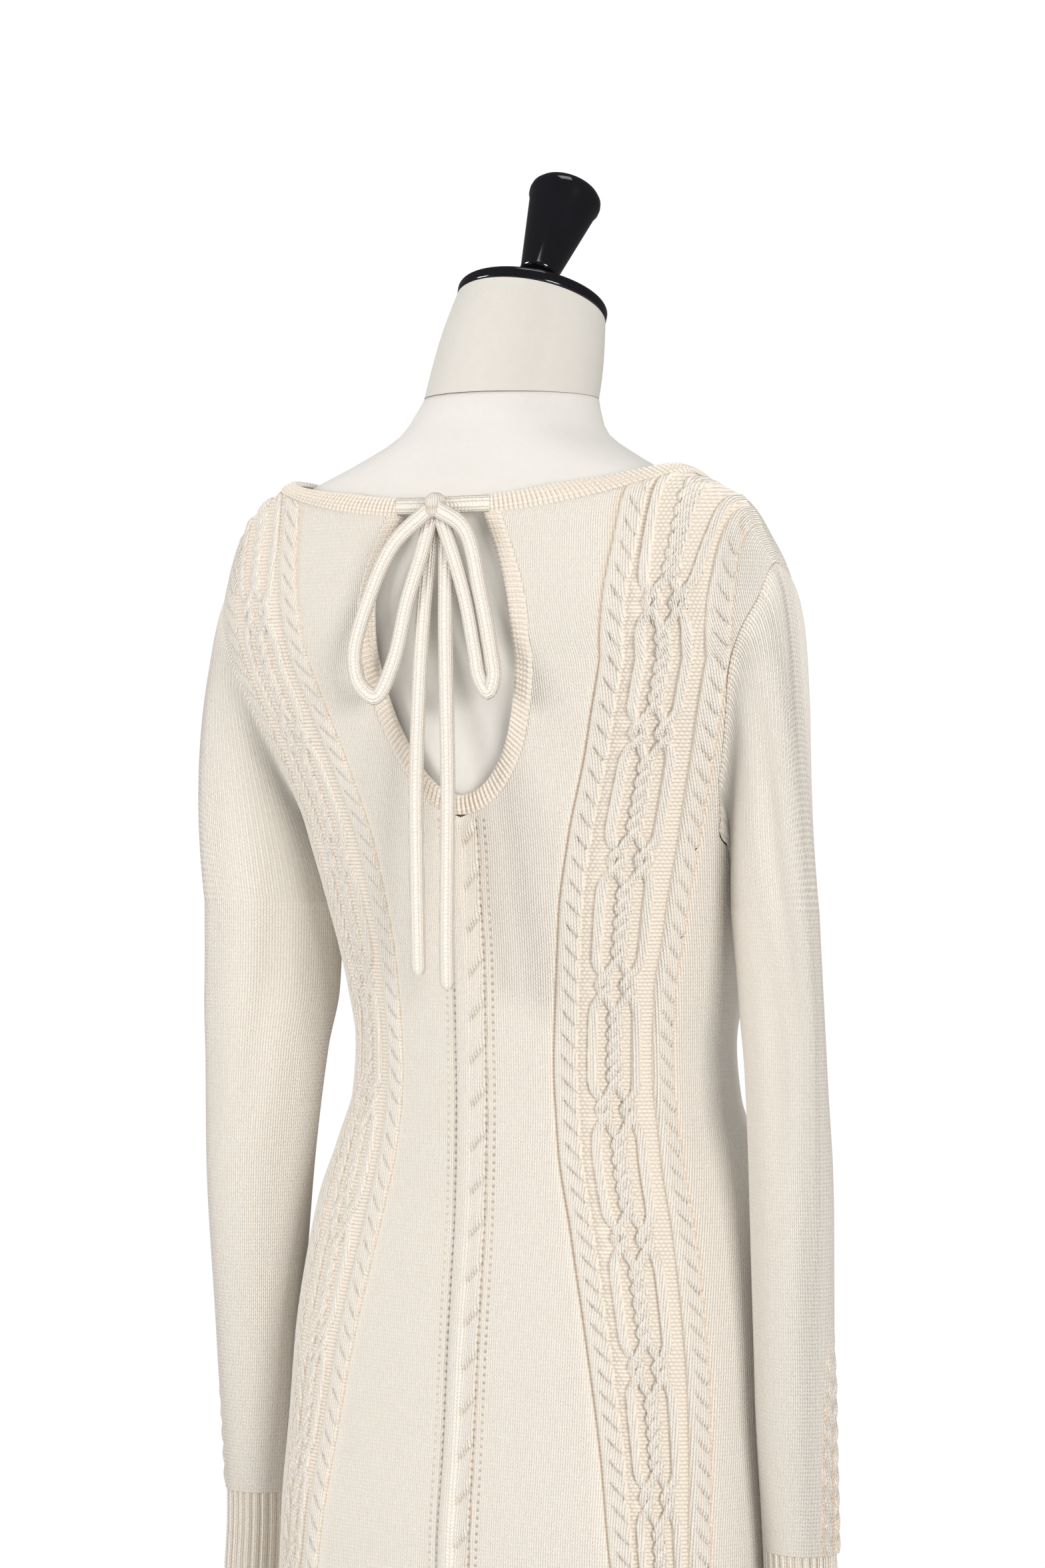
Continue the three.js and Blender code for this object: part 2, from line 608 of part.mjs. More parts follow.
// The keyhole's binding, from its top on the wearer's left round the foot to its top on the right
function bindingStations() {
  const rows = ROWS.slice(FOOT_ROW);
  const half = (hand) => rows.map(({ z, rise }) => {
    const centreZ = panelRow('back', z, rise).place(0).z;
    const sine = Math.min(1, keyholeHalfWidth(centreZ) / KEYHOLE.halfWidth);
    const isFoot = centreZ < KEYHOLE.widestZ;
    const cosine = isFoot ? Math.sqrt(1 - sine * sine) : 0;
    const row = panelRow('back', z, rise);
    const edge = row.place(keyholeHalfWidth(centreZ) / row.total);
    const edgeX = bodyPoint(edge.turn, edge.z).x;
    const inward = { x: isFoot ? -sine : -1, z: cosine };
    return BAND_ACROSS.map((share) => {
      const reach = SEAM + 0.1 + share * BAND;
      const x = Math.max(0, edgeX + inward.x * reach);
      const neckline = topEdge('back', (x / NECK_POINT.x) * NECKLINE_SHARE);
      const height = Math.min(edge.z + inward.z * reach, neckline.z);
      const turn = turnAt('back', x, height);
      const point = bodyPoint(turn, height);
      const normal = bodyNormal(turn, height);
      point.x *= hand;
      normal.x *= hand;
      return wallPoint(point, normal, bandLift(share));
    });
  });
  return [...half(1).reverse(), ...half(-1).slice(1)];
}

// A flat knitted tie along a line of points; its broad side faces the back
const TIE = { width: 9, thick: 3.4 };
function tieShell(line, steps, hasTip) {
  const curve = new THREE.CatmullRomCurve3(line.map((p) => new THREE.Vector3(...p)));
  const shell = new Shell();
  const facing = new THREE.Vector3(0, 1, 0);
  const rings = Array.from({ length: steps + 1 }, (_, k) => {
    const along = k / steps;
    const centre = curve.getPointAt(along);
    const ahead = curve.getTangentAt(along);
    const across = ahead.clone().cross(facing).normalize();
    const out = across.clone().cross(ahead).normalize();
    const taper = hasTip && k === steps ? 0.6 : 1;
    return Array.from({ length: 8 }, (_, i) => {
      const angle = (2 * Math.PI * (i + 0.5)) / 8;
      return centre.clone()
        .addScaledVector(across, (TIE.width / 2) * taper * Math.sign(Math.cos(angle)) * Math.abs(Math.cos(angle)) ** 0.6)
        .addScaledVector(out, (TIE.thick / 2) * taper * Math.sin(angle));
    });
  });
  const closed = rings.map((ring) => [...ring, ring[0]]);
  shell.grid(closed, true);
  shell.fan(rings[0]);
  shell.fan(rings[steps], true);
  return shell;
}

// The bow, with its points as [X, Y, Z]
const KNOT = { x: 0, y: 129.5, z: 1337, wide: 8.5, deep: 6.5, high: 8 };
const TIES = {
  tie_bridge_left: { line: [[30.1, 121.6, 1338], [20, 124.8, 1337.5], [8.5, 128, 1337]], steps: 4 },
  tie_bridge_right: { line: [[-30.1, 121.6, 1337.6], [-20, 124.8, 1337.4], [-8.5, 128, 1337]], steps: 4 },
  bow_loop_left: {
    line: [[7.1, 132.8, 1332.3], [28.5, 133, 1314], [48, 132, 1280], [59, 131, 1247], [56, 130, 1229],
      [44, 129.5, 1221], [31, 129.5, 1242], [20.5, 129.5, 1280], [9.5, 129.5, 1310], [4.7, 129.6, 1328.2]],
    steps: 18,
  },
  bow_loop_right: {
    line: [[-7.3, 132.8, 1332.4], [-23, 133, 1322], [-34.5, 132, 1281], [-41, 131, 1247], [-42.5, 130, 1232],
      [-38, 129, 1223], [-31.5, 129, 1232], [-28.5, 129, 1247], [-21.5, 129.5, 1281], [-11, 129.5, 1312],
      [-4.9, 129.6, 1328.2]],
    steps: 18,
  },
  tie_end_left: {
    line: [[4.9, 125.9, 1330], [6.5, 125.6, 1318], [12, 126, 1261], [14.5, 126.5, 1213], [16.5, 126, 1165],
      [16, 126, 1117], [15, 126, 1069], [14.5, 126, 1050]],
    steps: 10,
    hasTip: true,
  },
  tie_end_right: {
    line: [[-4.9, 125.9, 1329.9], [-4.8, 125.6, 1310], [-5, 126, 1261], [-6.2, 126.5, 1213], [-6.8, 126, 1165],
      [-6.4, 126, 1117], [-6, 126, 1069], [-6.6, 126, 1042]],
    steps: 10,
    hasTip: true,
  },
};

function knotMesh() {
  const geometry = new THREE.SphereGeometry(1, 12, 7);
  geometry.scale(KNOT.wide, KNOT.deep, KNOT.high);
  geometry.translate(KNOT.x, KNOT.y, KNOT.z);
  geometry.deleteAttribute('normal');
  geometry.deleteAttribute('uv');
  const mesh = new THREE.Mesh(mergeVertices(geometry, 1e-3), knit());
  mesh.name = 'bow_knot';
  return mesh;
}

// The form's body and neck as level rings, from its rounded foot to the seam of its neck
const FORM = { footZ: 720, fullZ: 732, bareZ: 1395, neckZ: 1409, ringPoints: 30 };
const FORM_HEIGHTS = [FORM.fullZ, 770, 820, 870, 910, 950, 985, 1020, 1060, 1100, 1140, 1175, 1208, 1235,
  1260, 1282, 1302, 1320, 1333, 1344, 1353, 1360, 1366, 1374, 1384, 1396, FORM.neckZ];

function formRing(z, shrink = 1) {
  const room = (height) => at(FORM_ROOM, 'side', height);
  return Array.from({ length: FORM.ringPoints }, (_, i) => {
    const turn = (2 * Math.PI * i) / FORM.ringPoints;
    const [hand, half] = turn > Math.PI ? [-1, 2 * Math.PI - turn] : [1, turn];
    const point = bodyPoint(half, z, room(z));
    const gap = z >= FORM.bareZ ? 0 : WALL + at(FORM_ROOM, 'gap', z);
    point.addScaledVector(bodyNormal(half, z, room), -gap);
    return new THREE.Vector3(point.x * hand * shrink, point.y * shrink, point.z);
  });
}

function stackShell(rings) {
  const shell = new Shell();
  shell.grid(rings.map((ring) => [...ring, ring[0]]), true);
  shell.fan(rings[0]);
  shell.fan(rings[rings.length - 1], true);
  return shell;
}

function formBody() {
  const foot = [[FORM.footZ, 0.86], [FORM.footZ + 3, 0.95]].map(([z, shrink]) => {
    const ring = formRing(FORM.fullZ, shrink);
    ring.forEach((p) => p.setZ(z));
    return ring;
  });
  return stackShell([...foot, ...FORM_HEIGHTS.map((z) => formRing(z))]);
}

// Round pieces whose rings lean forward by their own tilt, in degrees
function tiltedStack(rings, count = 32) {
  return stackShell(rings.map(({ y, z, r, tilt }) => {
    const lean = THREE.MathUtils.degToRad(tilt);
    return Array.from({ length: count }, (_, i) => {
      const angle = (2 * Math.PI * i) / count;
      const back = r * Math.cos(angle);
      return new THREE.Vector3(r * Math.sin(angle), y + back * Math.cos(lean), z + back * Math.sin(lean));
    });
  }));
}

const NECK_TOP = { y: 19, z: 1467, tilt: 20 };
function alongLean(from, distance, tilt) {
  const lean = THREE.MathUtils.degToRad(tilt);
  return { y: from.y - distance * Math.sin(lean), z: from.z + distance * Math.cos(lean) };
}
const onNeck = (distance, r) => ({ ...alongLean(NECK_TOP, distance, NECK_TOP.tilt), r, tilt: NECK_TOP.tilt });
const FINIAL_TILT = 32;
const collarTop = { ...onNeck(25, 10), tilt: FINIAL_TILT };
const onFinial = (distance, r) => ({ ...alongLean(collarTop, distance, FINIAL_TILT), r, tilt: FINIAL_TILT });

const NECK_RINGS = [
  { y: 42, z: FORM.neckZ + SEAM, r: 55, tilt: 0 },
  { y: 34.5, z: 1429, r: 53.5, tilt: 6 },
  { y: 28, z: 1446, r: 51.5, tilt: 12 },
  { ...NECK_TOP, r: 48 },
];
const CAP_RINGS = [onNeck(0.35, 46.5), onNeck(1.5, 48.2), onNeck(6, 48.2), onNeck(8, 47), onNeck(9, 44)];
const COLLAR_RINGS = [onNeck(9.35, 12), onNeck(11, 14), onNeck(15, 14.7), onNeck(20, 13.4), collarTop];
const FINIAL_RINGS = [onFinial(0.35, 11.8), onFinial(2, 12.5), onFinial(57, 22.2), onFinial(62, 23.5),
  onFinial(65, 23), onFinial(67.5, 20), onFinial(69, 13)];

// Upright round pieces, as [radius, height] from the bottom up
const upright = (outline) => outline.map(([r, z]) => ({ y: 0, z, r, tilt: 0 }));
const BASE_RINGS = upright([[166, 0], [170, 3], [170, 9], [166, 13], [60, 24], [28, 31], [24, 50]]);
const POLE_RINGS = upright([[15, 50.35], [15, FORM.footZ - 30], [26, FORM.footZ - 26], [26, FORM.footZ - SEAM]]);

const dress = new THREE.Group();
const form = new THREE.Group();
const model = new THREE.Group();
model.add(dress, form);

// The dress
dress.add(panelShell('back', backColumns, BACK_INNER_COLUMNS, FOOT_ROW).mesh('back_panel', knit()));
dress.add(panelShell('front', frontColumns, FRONT_INNER_COLUMNS).mesh('front_panel', knit()));
const sleeve = sleeveRings();
const cuff = cuffRings();
dress.add(tubeShell(sleeve, CAP_STEPS.length).mesh('sleeve_left', knit()));
dress.add(tubeShell(mirrored(sleeve), CAP_STEPS.length, true).mesh('sleeve_right', knit()));
dress.add(tubeShell(cuff).mesh('cuff_left', knit()));
dress.add(tubeShell(mirrored(cuff), 0, true).mesh('cuff_right', knit()));
dress.add(bandShell(neckbandStations()).mesh('neckband', knit()));
dress.add(bandShell(bindingStations(), true).mesh('keyhole_binding', knit()));
dress.add(knotMesh());
Object.entries(TIES).forEach(([name, { line, steps, hasTip }]) => {
  dress.add(tieShell(line, steps, hasTip).mesh(name, knit()));
});

// The dress form
form.add(formBody().mesh('form_body', linen()));
form.add(tiltedStack(NECK_RINGS, FORM.ringPoints).mesh('form_neck', linen()));
form.add(tiltedStack(CAP_RINGS, 26).mesh('form_cap', gloss()));
form.add(tiltedStack(COLLAR_RINGS, 20).mesh('form_collar', gloss()));
form.add(tiltedStack(FINIAL_RINGS, 20).mesh('form_finial', gloss()));
form.add(tiltedStack(POLE_RINGS, 16).mesh('form_pole', paintedMetal()));
form.add(tiltedStack(BASE_RINGS, 28).mesh('form_base', paintedMetal()));

export default model;
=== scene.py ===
from math import cos, pi, radians, sin

import bmesh
import bpy
import numpy as np
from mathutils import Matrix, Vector


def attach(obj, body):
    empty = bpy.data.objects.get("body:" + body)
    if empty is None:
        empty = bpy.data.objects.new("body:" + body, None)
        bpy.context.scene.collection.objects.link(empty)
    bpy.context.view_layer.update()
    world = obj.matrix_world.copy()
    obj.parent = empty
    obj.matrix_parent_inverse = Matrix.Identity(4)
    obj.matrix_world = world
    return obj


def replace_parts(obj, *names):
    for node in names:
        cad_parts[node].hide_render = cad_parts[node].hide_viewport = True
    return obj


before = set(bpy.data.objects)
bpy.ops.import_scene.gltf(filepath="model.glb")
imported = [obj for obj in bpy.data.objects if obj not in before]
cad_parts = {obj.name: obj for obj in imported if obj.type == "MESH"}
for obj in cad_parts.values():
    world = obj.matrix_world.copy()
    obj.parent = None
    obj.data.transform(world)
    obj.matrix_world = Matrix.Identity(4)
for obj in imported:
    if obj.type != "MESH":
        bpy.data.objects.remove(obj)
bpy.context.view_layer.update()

# Camera, lights and floor. The camera stands level behind the wearer's left of the centre back, 2.5 m away,
# and sees the dress from mid thigh to the finial. A white room and three soft boxes light it.
mm = 0.001
bpy.ops.object.select_all(action="DESELECT")
camera = bpy.data.objects.new("camera", bpy.data.cameras.new("camera"))
SENSOR, DISTANCE, SEEN_WIDTH = 36, 2500, 2352 / 2.35
camera.data.sensor_width = SENSOR
camera.data.lens = SENSOR * DISTANCE / SEEN_WIDTH
camera.location = (-1.3117, 2.1283, 1.167)
camera.rotation_euler = (radians(90), 0, radians(212))
bpy.context.collection.objects.link(camera)
bpy.context.scene.camera = camera

world = bpy.data.worlds.new("white_room")
world.use_nodes = True
room = world.node_tree
sky = room.nodes["Background"]
sky.inputs["Color"].default_value = (1, 1, 1, 1)
ray = room.nodes.new("ShaderNodeLightPath")
strength = room.nodes.new("ShaderNodeMath")
strength.operation = "MULTIPLY"
for part, seen_by, elsewhere, there in ((0, "Is Camera Ray", 0.52, 1.02), (1, "Is Glossy Ray", 1.0, 0.12)):
    level = room.nodes.new("ShaderNodeMapRange")
    level.inputs["To Min"].default_value = elsewhere
    level.inputs["To Max"].default_value = there
    room.links.new(ray.outputs[seen_by], level.inputs["Value"])
    room.links.new(level.outputs["Result"], strength.inputs[part])
room.links.new(strength.outputs[0], sky.inputs["Strength"])
bpy.context.scene.world = world
bpy.context.scene.view_settings.view_transform = "Standard"


def soft_box(name, place, aim, width, power):
    lamp = bpy.data.lights.new(name, "AREA")
    lamp.shape = "SQUARE"
    lamp.size = width
    lamp.energy = power
    box = bpy.data.objects.new(name, lamp)
    box.location = place
    box.rotation_euler = (Vector(aim) - Vector(place)).to_track_quat("-Z", "Y").to_euler()
    bpy.context.collection.objects.link(box)


soft_box("left_light", (2.2, 1.8, 1.8), (0, 0, 1.15), 0.9, 47)
soft_box("right_light", (-2.4, 1.6, 1.5), (0, 0, 1.15), 0.9, 49)
soft_box("top_light", (-0.4, 0.5, 3.2), (0, 0, 1.2), 1.0, 7)

bpy.ops.mesh.primitive_plane_add(size=3, location=(0, 0, 0))
floor = bpy.context.object
floor.name = "floor"
bpy.ops.object.transform_apply(location=True)


class Value:
    """One output of a finish's nodes, so that its maths reads as plain expressions."""

    def __init__(self, finish, socket):
        self.finish = finish
        self.socket = socket

    def math(self, operation, *others):
        return self.finish.node("ShaderNodeMath", {"operation": operation}, dict(enumerate((self, *others))))

    def __add__(self, other):
        return self.math("ADD", other)

    def __mul__(self, other):
        return self.math("MULTIPLY", other)

    def __sub__(self, other):
        return self.math("SUBTRACT", other)

    def __truediv__(self, other):
        return self.math("DIVIDE", other)

    def __rsub__(self, other):
        return (self * -1) + other

    __radd__ = __add__
    __rmul__ = __mul__


class Finish:
    """A surface finish: a Principled shader and the nodes that feed it."""

    def __init__(self, name, roughness, **constants):
        self.material = bpy.data.materials.new(name)
        self.material.use_nodes = True
        self.tree = self.material.node_tree
        self.shader = self.tree.nodes["Principled BSDF"]
        self.feed("Roughness", roughness)
        for key, value in constants.items():
            self.feed(key.replace("_", " ").title(), value)

    def feed(self, key, value, shader=None):
        socket = (shader or self.shader).inputs[key]
        if isinstance(value, Value):
            self.tree.links.new(value.socket, socket)
        else:
            socket.default_value = value

    def node(self, kind, settings, inputs, output=0):
        made = self.tree.nodes.new(kind)
        for key, value in settings.items():
            setattr(made, key, value)
        for key, value in inputs.items():
            self.feed(key, value, made)
        return Value(self, made.outputs[output])

    def blend(self, factor, first, second):
        inputs = {0: factor, 6: first, 7: second}
        return self.node("ShaderNodeMix", {"data_type": "RGBA"}, inputs, 2)

    def noise(self, where, scale, detail=2.0):
        inputs = {"Vector": where, "Scale": scale, "Detail": detail}
        return self.node("ShaderNodeTexNoise", {}, inputs)

    def bump(self, height, distance):
        inputs = {"Height": height, "Distance": distance, "Strength": 1.0}
        self.feed("Normal", self.node("ShaderNodeBump", {}, inputs))

    def coordinates(self):
        made = self.tree.nodes.new("ShaderNodeTexCoord")
        return Value(self, made.outputs["Object"])

    def pattern(self):
        """The place in the piece's own pattern, and its two parts in mm."""
        place = self.node("ShaderNodeUVMap", {"uv_map": "knit"}, {})
        split = self.tree.nodes.new("ShaderNodeSeparateXYZ")
        self.tree.links.new(place.socket, split.inputs[0])
        return place, Value(self, split.outputs[0]), Value(self, split.outputs[1])

    def attribute(self, name):
        return self.node("ShaderNodeAttribute", {"attribute_name": name}, {}, 2)


studio_floor = Finish("studio_floor", 0.6)
grain = studio_floor.noise(studio_floor.coordinates(), 30.0)
studio_floor.feed("Base Color", studio_floor.blend(grain, (0.86, 0.86, 0.86, 1), (0.9, 0.9, 0.9, 1)))
floor.data.materials.append(studio_floor.material)

# The knitted back. It is one piece of fine wool, worked from the hem up, with a cable up its centre under the
# keyhole and, on each side, a curved panel of open chain cable between two rope borders.
# It is made as three shells that meet in the grooves beside the inner borders.
def table(names, rows):
    """Columns by name; the first one is the height in mm."""
    return dict(zip(names.split(), np.array(rows).T))


BODY = table("z half back front side square_back square_front", [
    [230, 224, 133, -139, 0, 2.2, 2.2], [400, 204, 122, -130, 0, 2.3, 2.2],
    [550, 186, 116, -124, 2, 2.5, 2.3], [622, 177.5, 113, -121, 5, 2.7, 2.4],
    [700, 172.5, 110, -118, 8, 2.8, 2.4], [760, 171, 104, -114, 10, 2.6, 2.4],
    [820, 169, 99, -110, 10, 2.5, 2.3], [860, 165, 95, -105, 8, 2.4, 2.3],
    [900, 158, 91, -100, 6, 2.3, 2.2], [935, 146, 89.5, -95, 3, 2.2, 2.15],
    [970, 131.5, 89, -90, 2, 2.15, 2.15], [1003, 128.5, 90, -88, 2, 2.15, 2.15],
    [1037, 134.5, 91, -89, 4, 2.15, 2.15], [1060, 139.5, 92, -91, 8, 2.15, 2.2],
    [1100, 146, 96, -97, 20, 2.2, 2.2], [1127, 152, 98, -103, 28, 2.2, 2.2],
    [1146, 157, 101, -106, 31, 2.2, 2.2], [1183, 175, 106, -109, 36, 2.3, 2.15],
    [1208, 188, 112, -103, 42, 2.3, 2.1], [1240, 202, 119, -90, 50, 2.3, 2],
    [1260, 205, 124, -80, 56, 2.3, 1.95], [1280, 203, 126, -69, 59, 2.3, 1.9],
    [1300, 199, 125.5, -58, 60, 2.2, 1.8], [1315, 193, 124, -49, 61, 2.1, 1.7],
    [1338, 180, 121, -39, 65, 2, 1.6], [1355, 149, 117, -28, 75, 2, 1.7], [1374, 98, 111, -21, 64, 2, 1.9],
    [1393, 62, 105.5, -15, 50, 2, 2], [1409, 55.5, 96, -13, 42, 2, 2], [1429, 53.8, 88, -20, 34, 2, 2],
])
ARMHOLE = table("z back front", [
    [1127, 152, 152], [1135, 151.3, 152.5], [1146, 153.5, 152], [1165, 158, 149], [1183, 164, 147],
    [1208, 172, 147], [1240, 181, 151], [1263, 190, 164], [1282, 197, 183], [1300, 199, 199],
])
CABLES = table("z inner spread", [
    [230, 160, 46], [400, 146, 45], [550, 131, 45], [670, 118, 46], [760, 105, 53], [820, 94, 59],
    [897, 77, 62.5], [943, 67.5, 62], [990, 64, 60], [1037, 66, 60], [1084, 70.5, 65], [1131, 79.5, 67],
    [1178, 94, 65], [1225, 109, 64.5], [1272, 124, 66], [1319, 135, 67], [1352, 140, 68],
])
WALL, BORDER = 2.5, 9
HEM_Z, UNDERARM_Z, YOKE_Z, SHOULDER_TIP_Z = 245, 1127, 1242.5, 1300
NECK_POINT_X, NECK_POINT_Z, NECKLINE_SHARE = 149, 1355, 0.655
TOP_ROW_LENGTH = 244
NECK_LOW = {"back": 1331, "front": 1288}
QUARTER = pi / 2


def every(count, step):
    """Every step-th number below count, and the last one."""
    return np.unique(np.append(np.arange(0, count, step), count - 1))


def unit(values):
    return np.clip(values, 0, 1)


def bell(values):
    return np.exp(-(values**2))


def grid_of(*parts):
    return np.stack(np.broadcast_arrays(*parts), axis=-1)


def resample(values, along, even):
    """Values at the places along, worked out for the even ones."""
    flat = values.reshape(len(values), -1)
    found = np.stack([np.interp(even, along, column) for column in flat.T], axis=1)
    return found.reshape(len(even), *values.shape[1:])


def distances(points):
    """How far along from the first each point lies, or each ring of points on average."""
    steps = np.linalg.norm(np.diff(points, axis=0), axis=-1)
    return np.append(0, np.cumsum(steps.reshape(len(steps), -1).mean(axis=1)))


def ring_angles(count):
    return 2 * pi * np.arange(count) / count


def ring_pattern(angles, girth, along):
    """Pattern places of rings of the given girth, back to their first point."""
    return grid_of(np.append(angles, 2 * pi + angles[0]) / (2 * pi) * girth, along[:, None])


def between(a, b, c, d, u):
    """The point at share u from b to c on a smooth curve through all four."""
    return b + 0.5 * u * (c - a + u * (2 * a - 5 * b + 4 * c - d + u * (3 * (b - c) + d - a)))


def at(columns, name, z):
    """Monotone cubic through one column of a table."""
    heights, values = columns["z"], columns[name]
    steps = np.diff(values) / np.diff(heights)
    before, after = steps[:-1], steps[1:]
    same = before * after > 0
    slopes = np.zeros(len(values))
    slopes[0], slopes[-1] = steps[0], steps[-1]
    slopes[1:-1][same] = (2 * before * after)[same] / (before + after)[same]
    z = np.clip(z, heights[0], heights[-1])
    i = np.clip(np.searchsorted(heights, z) - 1, 0, len(steps) - 1)
    width = heights[i + 1] - heights[i]
    u = (z - heights[i]) / width
    return (values[i] * (2 * u**3 - 3 * u**2 + 1) + slopes[i] * width * (u**3 - 2 * u**2 + u)
            + values[i + 1] * (3 * u**2 - 2 * u**3) + slopes[i + 1] * width * (u**3 - u**2))


def body_point(turn, z, room=0.0):
    """A point of the dress's form in mm; turn runs from the centre back past the side to the centre front."""
    is_back = np.abs(turn) <= QUARTER + 1e-9
    half, side = at(BODY, "half", z) - room, at(BODY, "side", z)
    square = np.where(is_back, at(BODY, "square_back", z), at(BODY, "square_front", z))
    depth = np.where(is_back, at(BODY, "back", z), at(BODY, "front", z)) - side
    sine, cosine = np.sin(turn), np.abs(np.cos(turn))
    x = np.sign(sine) * half * np.abs(sine) ** (2 / square)
    y = side + depth * cosine ** (2 / square)
    return grid_of(x, y, z * 1.0)


def body_normal(turn, z, room_at=lambda height: 0.0):
    nudge, rise = 0.004, 0.2
    across = body_point(turn + nudge, z, room_at(z)) - body_point(turn - nudge, z, room_at(z))
    up = body_point(turn, z + rise, room_at(z + rise)) - body_point(turn, z - rise, room_at(z - rise))
    normal = np.cross(up, across)
    return normal / np.linalg.norm(normal, axis=-1, keepdims=True)


def turn_at(face, x, z):
    turn = np.arcsin(unit(x / at(BODY, "half", z)) ** (at(BODY, "square_" + face, z) / 2))
    return turn if face == "back" else pi - turn


def level_row(face, z):
    """Arc length of a level row, and the turn at each share of it."""
    start = 0.0 if face == "back" else pi
    end = QUARTER if z <= UNDERARM_Z else float(turn_at(face, at(ARMHOLE, face, z), z))
    turns = np.linspace(start, end, 61)
    lengths = distances(body_point(turns, np.full(61, float(z))))
    return lengths[-1], lambda share: np.interp(unit(share) * lengths[-1], lengths, turns)


def top_edge(face, share):
    """Height and x of a panel's top edge: the neckline, then the shoulder seam down to the sleeve."""
    low = NECK_LOW[face]
    x = NECK_POINT_X * share / NECKLINE_SHARE
    neck = low + (NECK_POINT_Z - low) * (np.clip(x, 0, NECK_POINT_X) / NECK_POINT_X) ** 2.2
    along = unit((share - NECKLINE_SHARE) / (1 - NECKLINE_SHARE))
    shoulder = NECK_POINT_Z + (SHOULDER_TIP_Z - NECK_POINT_Z) * along**1.25
    is_neck = share < NECKLINE_SHARE
    z = np.where(is_neck, neck, shoulder)
    return z, np.where(is_neck, x, at(BODY, "half", z)), is_neck


def panel_row(face, z, rise=None):
    """Length of a panel's row, and a function from share to (turn, height); rise 0 to 1 is the yoke."""
    total, turn_of = level_row(face, z)
    if rise is None:
        return total, lambda share: (turn_of(share), np.full(np.shape(share), float(z)))
    base_total, base_turn = level_row(face, YOKE_Z)
    ease = 1 - (1 - rise) ** 1.5
    edge_z = YOKE_Z + (SHOULDER_TIP_Z - YOKE_Z) * ease
    widen = at(ARMHOLE, face, edge_z) / at(ARMHOLE, face, YOKE_Z)

    def place(share):
        share = np.asarray(share, float)
        top_z, top_x, is_neck = top_edge(face, share)
        row_z = YOKE_Z + (top_z - YOKE_Z) * ease
        base_x = np.abs(body_point(base_turn(share), np.full(share.shape, YOKE_Z))[..., 0])
        x = base_x * widen * (1 - rise**2) + top_x * rise**2
        turn = turn_at(face, x, row_z)
        return (np.where(is_neck, turn, QUARTER) if rise == 1 else turn), row_z

    return base_total + (TOP_ROW_LENGTH - base_total) * ease, place


def row_list(step):
    """Heights of a panel's rows about step mm apart, then the rises of the yoke's rows."""
    levels = [float(z) for z in np.linspace(HEM_Z, YOKE_Z, round((YOKE_Z - HEM_Z) / step) + 1)]
    rises = np.linspace(0, 1, round(95 / step) + 1)
    return [(z, None) for z in levels[:-1]] + [(YOKE_Z, float(1 - (1 - r) ** 0.8)) for r in rises]


